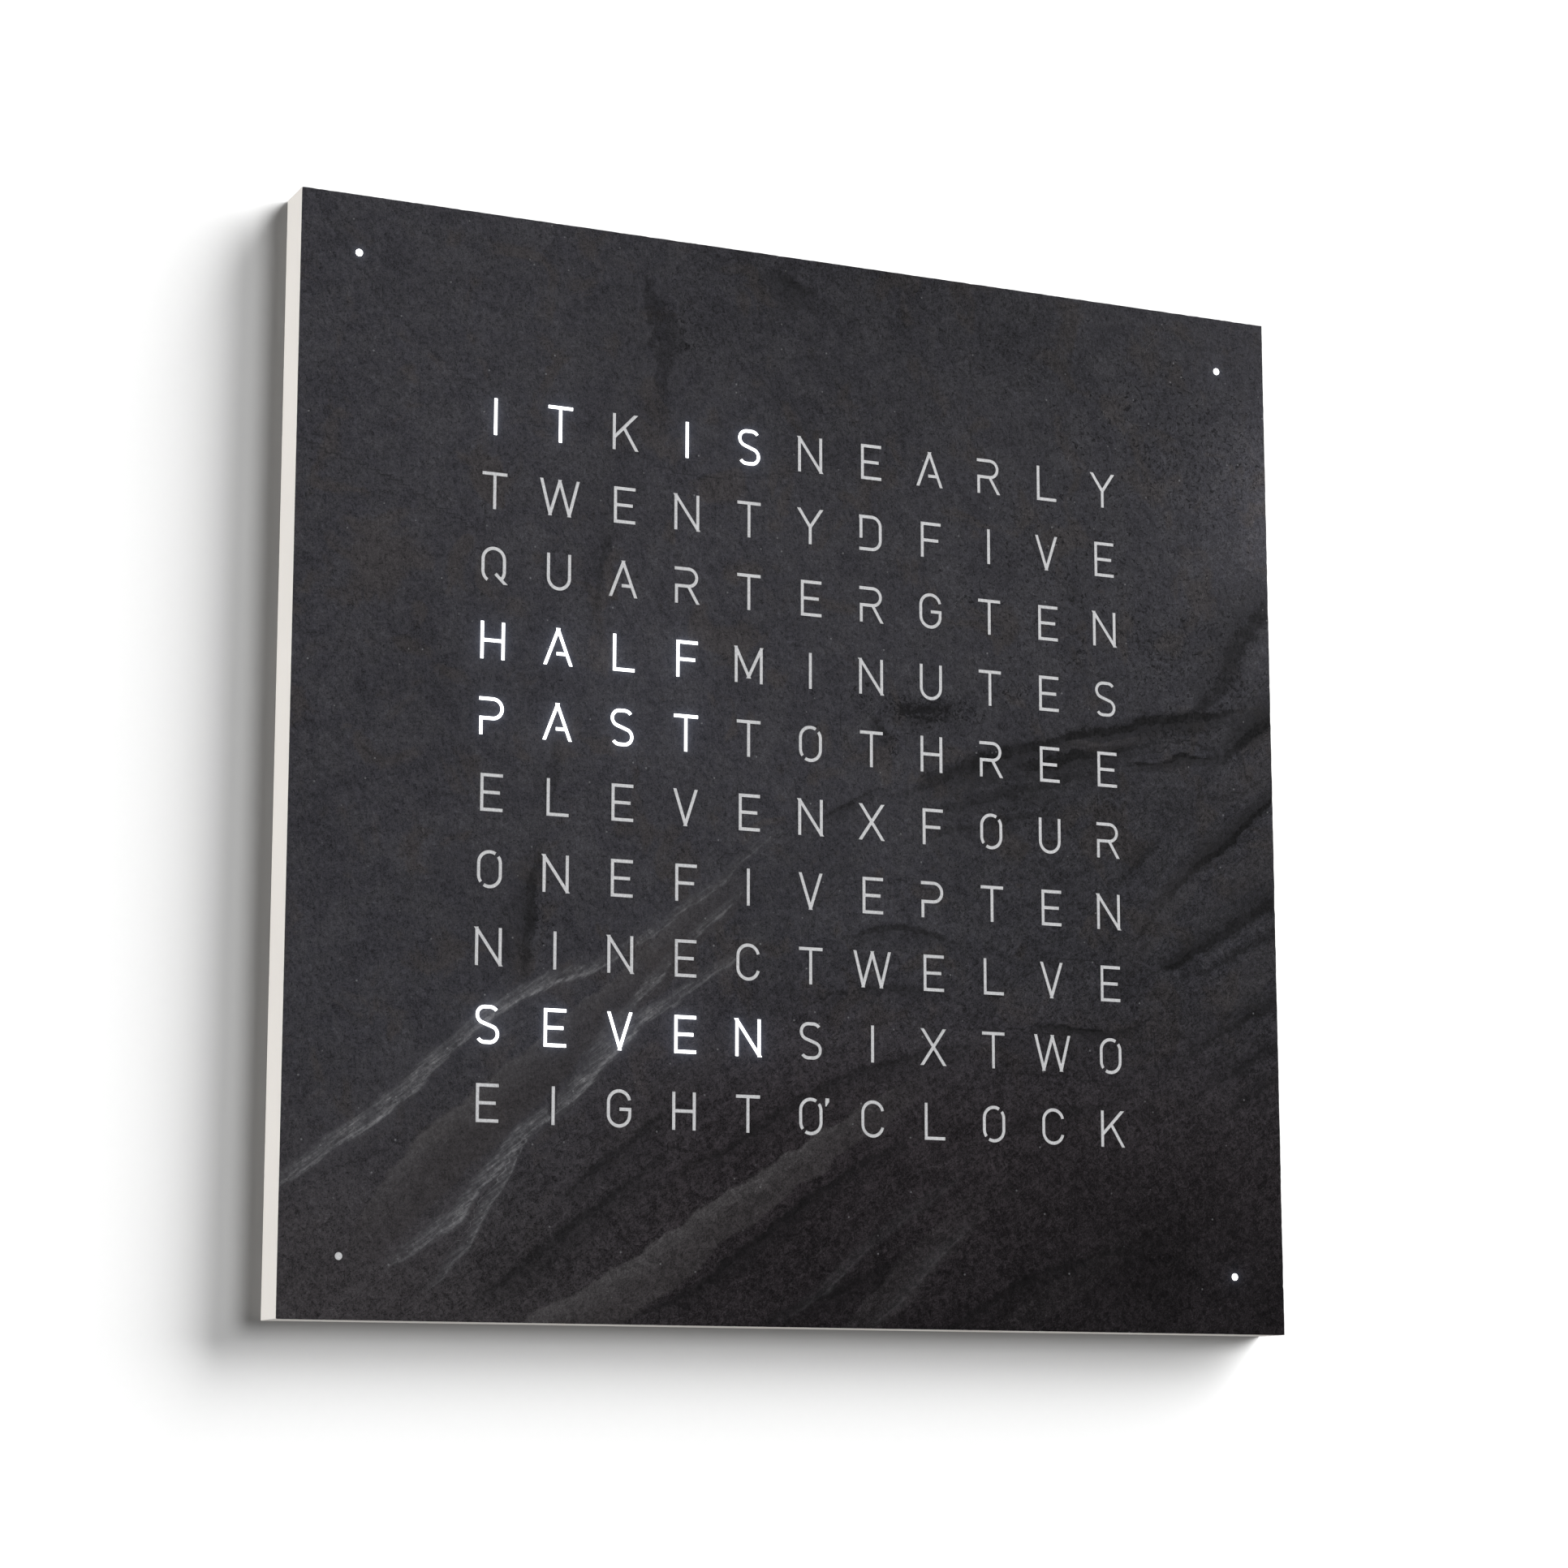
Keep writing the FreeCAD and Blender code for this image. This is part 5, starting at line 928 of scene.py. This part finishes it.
FINISH = {
    "slate": slate_material,
    "opal_film": film_material,
    "carrier_steel": lambda: metal("carrier_steel_procedural", (0.50, 0.51, 0.52), rough=(0.30, 0.44), streak=(0.04, 1, 1), size=0.6, stain=0.30),
    "frame_white": lambda: coated("frame_white_procedural", (0.850, 0.812, 0.766), grain=0.8, depth=0.018, rough=(0.44, 0.54), drift=0.015, bevel=0.30),
    "panel_grey": lambda: coated("panel_grey_procedural", (0.56, 0.56, 0.55), grain=0.45, depth=0.06, rough=(0.50, 0.66), drift=0.05, bevel=0.2, peel=1.0),
    "zinc_steel": lambda: metal("zinc_steel_procedural", (0.60, 0.615, 0.63), rough=(0.26, 0.40), streak=(1, 1, 0.3), size=1.2, drift=0.06, stain=0.35, stain_color=(0.62, 0.58, 0.46)),
    "pad_rubber": lambda: rubber("pad_rubber_procedural", (0.060, 0.060, 0.060)),
    "grommet_rubber": lambda: rubber("grommet_rubber_procedural", (0.040, 0.040, 0.040)),
    "board_white": lambda: board("board_white_procedural", (0.74, 0.75, 0.735), (0.80, 0.805, 0.79)),
    "board_green": lambda: board("board_green_procedural", (0.022, 0.135, 0.060), (0.040, 0.215, 0.095)),
    "led_body": led_material,
    "grid_white": lambda: moulded("grid_white_procedural", (0.80, 0.80, 0.78), rough=(0.52, 0.66), grain=0.5, depth=0.03, drift=0.03, dust=0.05),
    "chip_black": lambda: moulded("chip_black_procedural", (0.028, 0.028, 0.030), rough=(0.48, 0.62), grain=0.16, depth=0.015, dust=0.05),
    "can_aluminium": lambda: metal("can_aluminium_procedural", (0.74, 0.74, 0.75), rough=(0.22, 0.34), streak=(1, 0.08, 1), size=0.4),
    "terminal_plastic": lambda: moulded("terminal_plastic_procedural", (0.045, 0.30, 0.14), rough=(0.35, 0.48), grain=0.3),
    "holder_black": lambda: moulded("holder_black_procedural", (0.036, 0.036, 0.037), rough=(0.42, 0.56), grain=0.3),
    "cell_steel": cell_material,
    "connector_black": lambda: moulded("connector_black_procedural", (0.040, 0.040, 0.041), rough=(0.38, 0.50), grain=0.25),
    "ribbon_grey": ribbon_material,
    "ferrite": ferrite_material,
    "coil_copper": coil_material,
    "clip_white": lambda: moulded("clip_white_procedural", (0.76, 0.76, 0.74), rough=(0.42, 0.54), grain=0.3, drift=0.03),
    "lead_jacket": lambda: moulded("lead_jacket_procedural", (0.075, 0.075, 0.080), rough=(0.40, 0.52), grain=0.3, bevel=0.0),
    "spacer_brass": lambda: metal("spacer_brass_procedural", (0.72, 0.53, 0.24), rough=(0.22, 0.34), streak=(1, 0.12, 1), size=0.5, stain=0.25, stain_color=(0.45, 0.28, 0.12)),
    "seat_black": lambda: moulded("seat_black_procedural", (0.045, 0.045, 0.047), rough=(0.46, 0.60), grain=0.4),
    "magnet_nickel": lambda: metal("magnet_nickel_procedural", (0.70, 0.685, 0.66), rough=(0.10, 0.20), streak=(1, 1, 1), size=0.9, drift=0.03, stain=0.15, bevel=0.3),
    "key_white": lambda: moulded("key_white_procedural", (0.70, 0.70, 0.69), rough=(0.38, 0.48), grain=0.3, depth=0.012, drift=0.02, bevel=0.25, dust=0.04),
    "plunger_black": lambda: moulded("plunger_black_procedural", (0.045, 0.045, 0.045), rough=(0.40, 0.55), grain=0.25),
}
MATERIAL = {slot: make() for slot, make in FINISH.items()}


def wear(obj, slot):
    if not obj.data.materials:
        obj.data.materials.append(MATERIAL[slot])
    for s in obj.material_slots:
        s.material = MATERIAL[slot]


for name, obj in NODES.items():
    wear(obj, SLOT_OF[name])

stone = build_slate()
wear(stone, "slate")


# ---------------------------------------------------------------- stage, light and camera
def plane(name, corners, mat):
    mesh = bpy.data.meshes.new(name)
    mesh.from_pydata(corners, [], [(0, 1, 2, 3)])
    mesh.materials.append(mat)
    o = bpy.data.objects.new(name, mesh)
    bpy.context.scene.collection.objects.link(o)
    return o


def stage_material(name, color, one_sided):
    g = Graph(name)
    fine = g.noise(size=3.0, detail=4)
    g.set(color=g.mix(g.rng(fine, 0.3, 0.7), tuple(c * 0.995 for c in color), color), rough=0.9, spec=0.0)
    if one_sided:
        geo = g.new("ShaderNodeNewGeometry")
        clear = g.new("ShaderNodeBsdfTransparent")
        mix = g.new("ShaderNodeMixShader")
        g.tree.links.new(geo.outputs["Backfacing"], mix.inputs[0])
        g.tree.links.new(g.bsdf.outputs[0], mix.inputs[1])
        g.tree.links.new(clear.outputs[0], mix.inputs[2])
        g.tree.links.new(mix.outputs[0], g.out.inputs["Surface"])
    return g.mat


# the wall faces the room, and is not seen from behind
wall = plane("wall", [(-6, 0.0003, -1.6), (6, 0.0003, -1.6), (6, 0.0003, 5), (-6, 0.0003, 5)], stage_material("wall_paint", (0.35, 0.35, 0.35), True))
floor = plane("floor", [(-6, -8, -1.6), (6, -8, -1.6), (6, 6, -1.6), (-6, 6, -1.6)], stage_material("floor_pale", (0.86, 0.86, 0.85), False))
for o in (wall, floor):
    o.visible_diffuse = False
    o.visible_glossy = False
    o.visible_transmission = False
    o.visible_shadow = False

wall_only = bpy.data.collections.new("wall_only")
wall_only.objects.link(wall)
wall_only.objects.link(floor)
not_wall = bpy.data.collections.new("not_wall")
not_wall.objects.link(wall)
not_wall.objects.link(floor)
for c in not_wall.collection_objects:
    c.light_linking.link_state = "EXCLUDE"


def area(name, at, to, size, power, color=(1, 1, 1), receivers=None):
    data = bpy.data.lights.new(name, "AREA")
    data.shape = "RECTANGLE"
    data.size, data.size_y = size
    data.energy = power
    data.color = color
    o = bpy.data.objects.new(name, data)
    o.location = at
    o.rotation_euler = (Vector(to) - Vector(at)).to_track_quat("-Z", "Y").to_euler()
    bpy.context.scene.collection.objects.link(o)
    if receivers:
        o.light_linking.receiver_collection = receivers
    return o


area("key", (1.55, -1.25, 0.95), (0.0, 0, 0.0), (0.7, 0.9), 17, receivers=not_wall)
area("front", (-0.4, -2.6, 0.9), (0, 0, 0), (2.2, 1.6), 24, receivers=not_wall)
area("left", (-2.3, -0.5, 0.2), (0, 0, 0), (1.5, 1.8), 47, receivers=not_wall)
area("right", (2.5, -0.2, 0.1), (0, 0, 0), (1.2, 1.6), 20, receivers=not_wall)
area("top", (0.1, -0.6, 2.2), (0, 0, 0), (1.6, 1.2), 22, receivers=not_wall)
area("under", (0.0, -0.4, -1.5), (0, 0, 0), (1.4, 1.0), 10, receivers=not_wall)
area("rear", (0.7, 2.3, 0.9), (0, 0, 0), (1.8, 1.6), 55, receivers=not_wall)
# a strip that only shows as a soft sheen near the upper right edge of the stone
sheen = area("sheen", (1.62, -2.1, 0.78), (0.2, 0, 0.12), (0.35, 0.5), 9, receivers=not_wall)
sheen.visible_diffuse = False
# the wall has lights of its own: a wide one and a narrower one from the upper right, and a very wide one from the front
for name, heading, energy, angle in (("wall_light", (-2.94, 1.0, -1.979), 23.3, 52.1), ("wall_near", (-0.451, 1.0, -0.193), 3.11, 25.1),
                                     ("wall_fill", (0.0, 1.0, 0.0), 0.34, 168)):
    sky = bpy.data.lights.new(name, "SUN")
    sky.energy = energy
    sky.angle = math.radians(angle)
    wall_light = bpy.data.objects.new(name, sky)
    wall_light.rotation_euler = Vector(heading).to_track_quat("-Z", "Y").to_euler()
    bpy.context.scene.collection.objects.link(wall_light)
    wall_light.light_linking.receiver_collection = wall_only

world = bpy.data.worlds.new("studio")
bpy.context.scene.world = world
world.use_nodes = True
wt = world.node_tree
wt.nodes.clear()
w_out = wt.nodes.new("ShaderNodeOutputWorld")
dim = wt.nodes.new("ShaderNodeBackground")
dim.inputs[0].default_value = (0.98, 0.99, 1.0, 1)
dim.inputs[1].default_value = 0.10
lit = wt.nodes.new("ShaderNodeBackground")
lit.inputs[0].default_value = (1, 1, 1, 1)
lit.inputs[1].default_value = 1.0
path = wt.nodes.new("ShaderNodeLightPath")
wm = wt.nodes.new("ShaderNodeMixShader")
wt.links.new(path.outputs["Is Camera Ray"], wm.inputs[0])
wt.links.new(dim.outputs[0], wm.inputs[1])
wt.links.new(lit.outputs[0], wm.inputs[2])
wt.links.new(wm.outputs[0], w_out.inputs[0])

cam_data = bpy.data.cameras.new("camera")
cam_data.sensor_width = 36.0
cam_data.sensor_fit = "HORIZONTAL"
cam_data.lens = 86.81
cam_data.clip_start, cam_data.clip_end = 0.01, 50
camera = bpy.data.objects.new("camera", cam_data)
right = Vector((0.90681323, -0.42153261, 0.00016091))
up = Vector((-0.07418498, -0.1592131, 0.98445303))
ahead = Vector((0.41495344, 0.89272697, 0.17564794))
camera.matrix_world = Matrix(((right.x, up.x, -ahead.x, -0.661405), (right.y, up.y, -ahead.y, -1.416539), (right.z, up.z, -ahead.z, -0.277228), (0, 0, 0, 1)))
bpy.context.scene.collection.objects.link(camera)
bpy.context.scene.camera = camera

scene = bpy.context.scene
scene.view_settings.view_transform = "Standard"
scene.view_settings.look = "None"
scene.view_settings.exposure = 0.0
scene.view_settings.gamma = 1.0

# a faint bloom around the lit letters, as a lens gives
scene.use_nodes = True
ct = scene.node_tree
ct.nodes.clear()
layers = ct.nodes.new("CompositorNodeRLayers")
glare = ct.nodes.new("CompositorNodeGlare")
result = ct.nodes.new("CompositorNodeComposite")
glare.glare_type = "BLOOM"
glare.quality = "HIGH"
for key, value in (("Threshold", 1.6), ("Smoothness", 0.1), ("Strength", 0.34), ("Size", 0.05), ("Saturation", 1.0)):
    if key in glare.inputs:
        glare.inputs[key].default_value = value
if "Tint" in glare.inputs:
    glare.inputs["Tint"].default_value = (0.68, 0.76, 1.0, 1.0)
ct.links.new(layers.outputs["Image"], glare.inputs["Image"])
ct.links.new(glare.outputs["Image"], result.inputs["Image"])

bpy.context.view_layer.update()
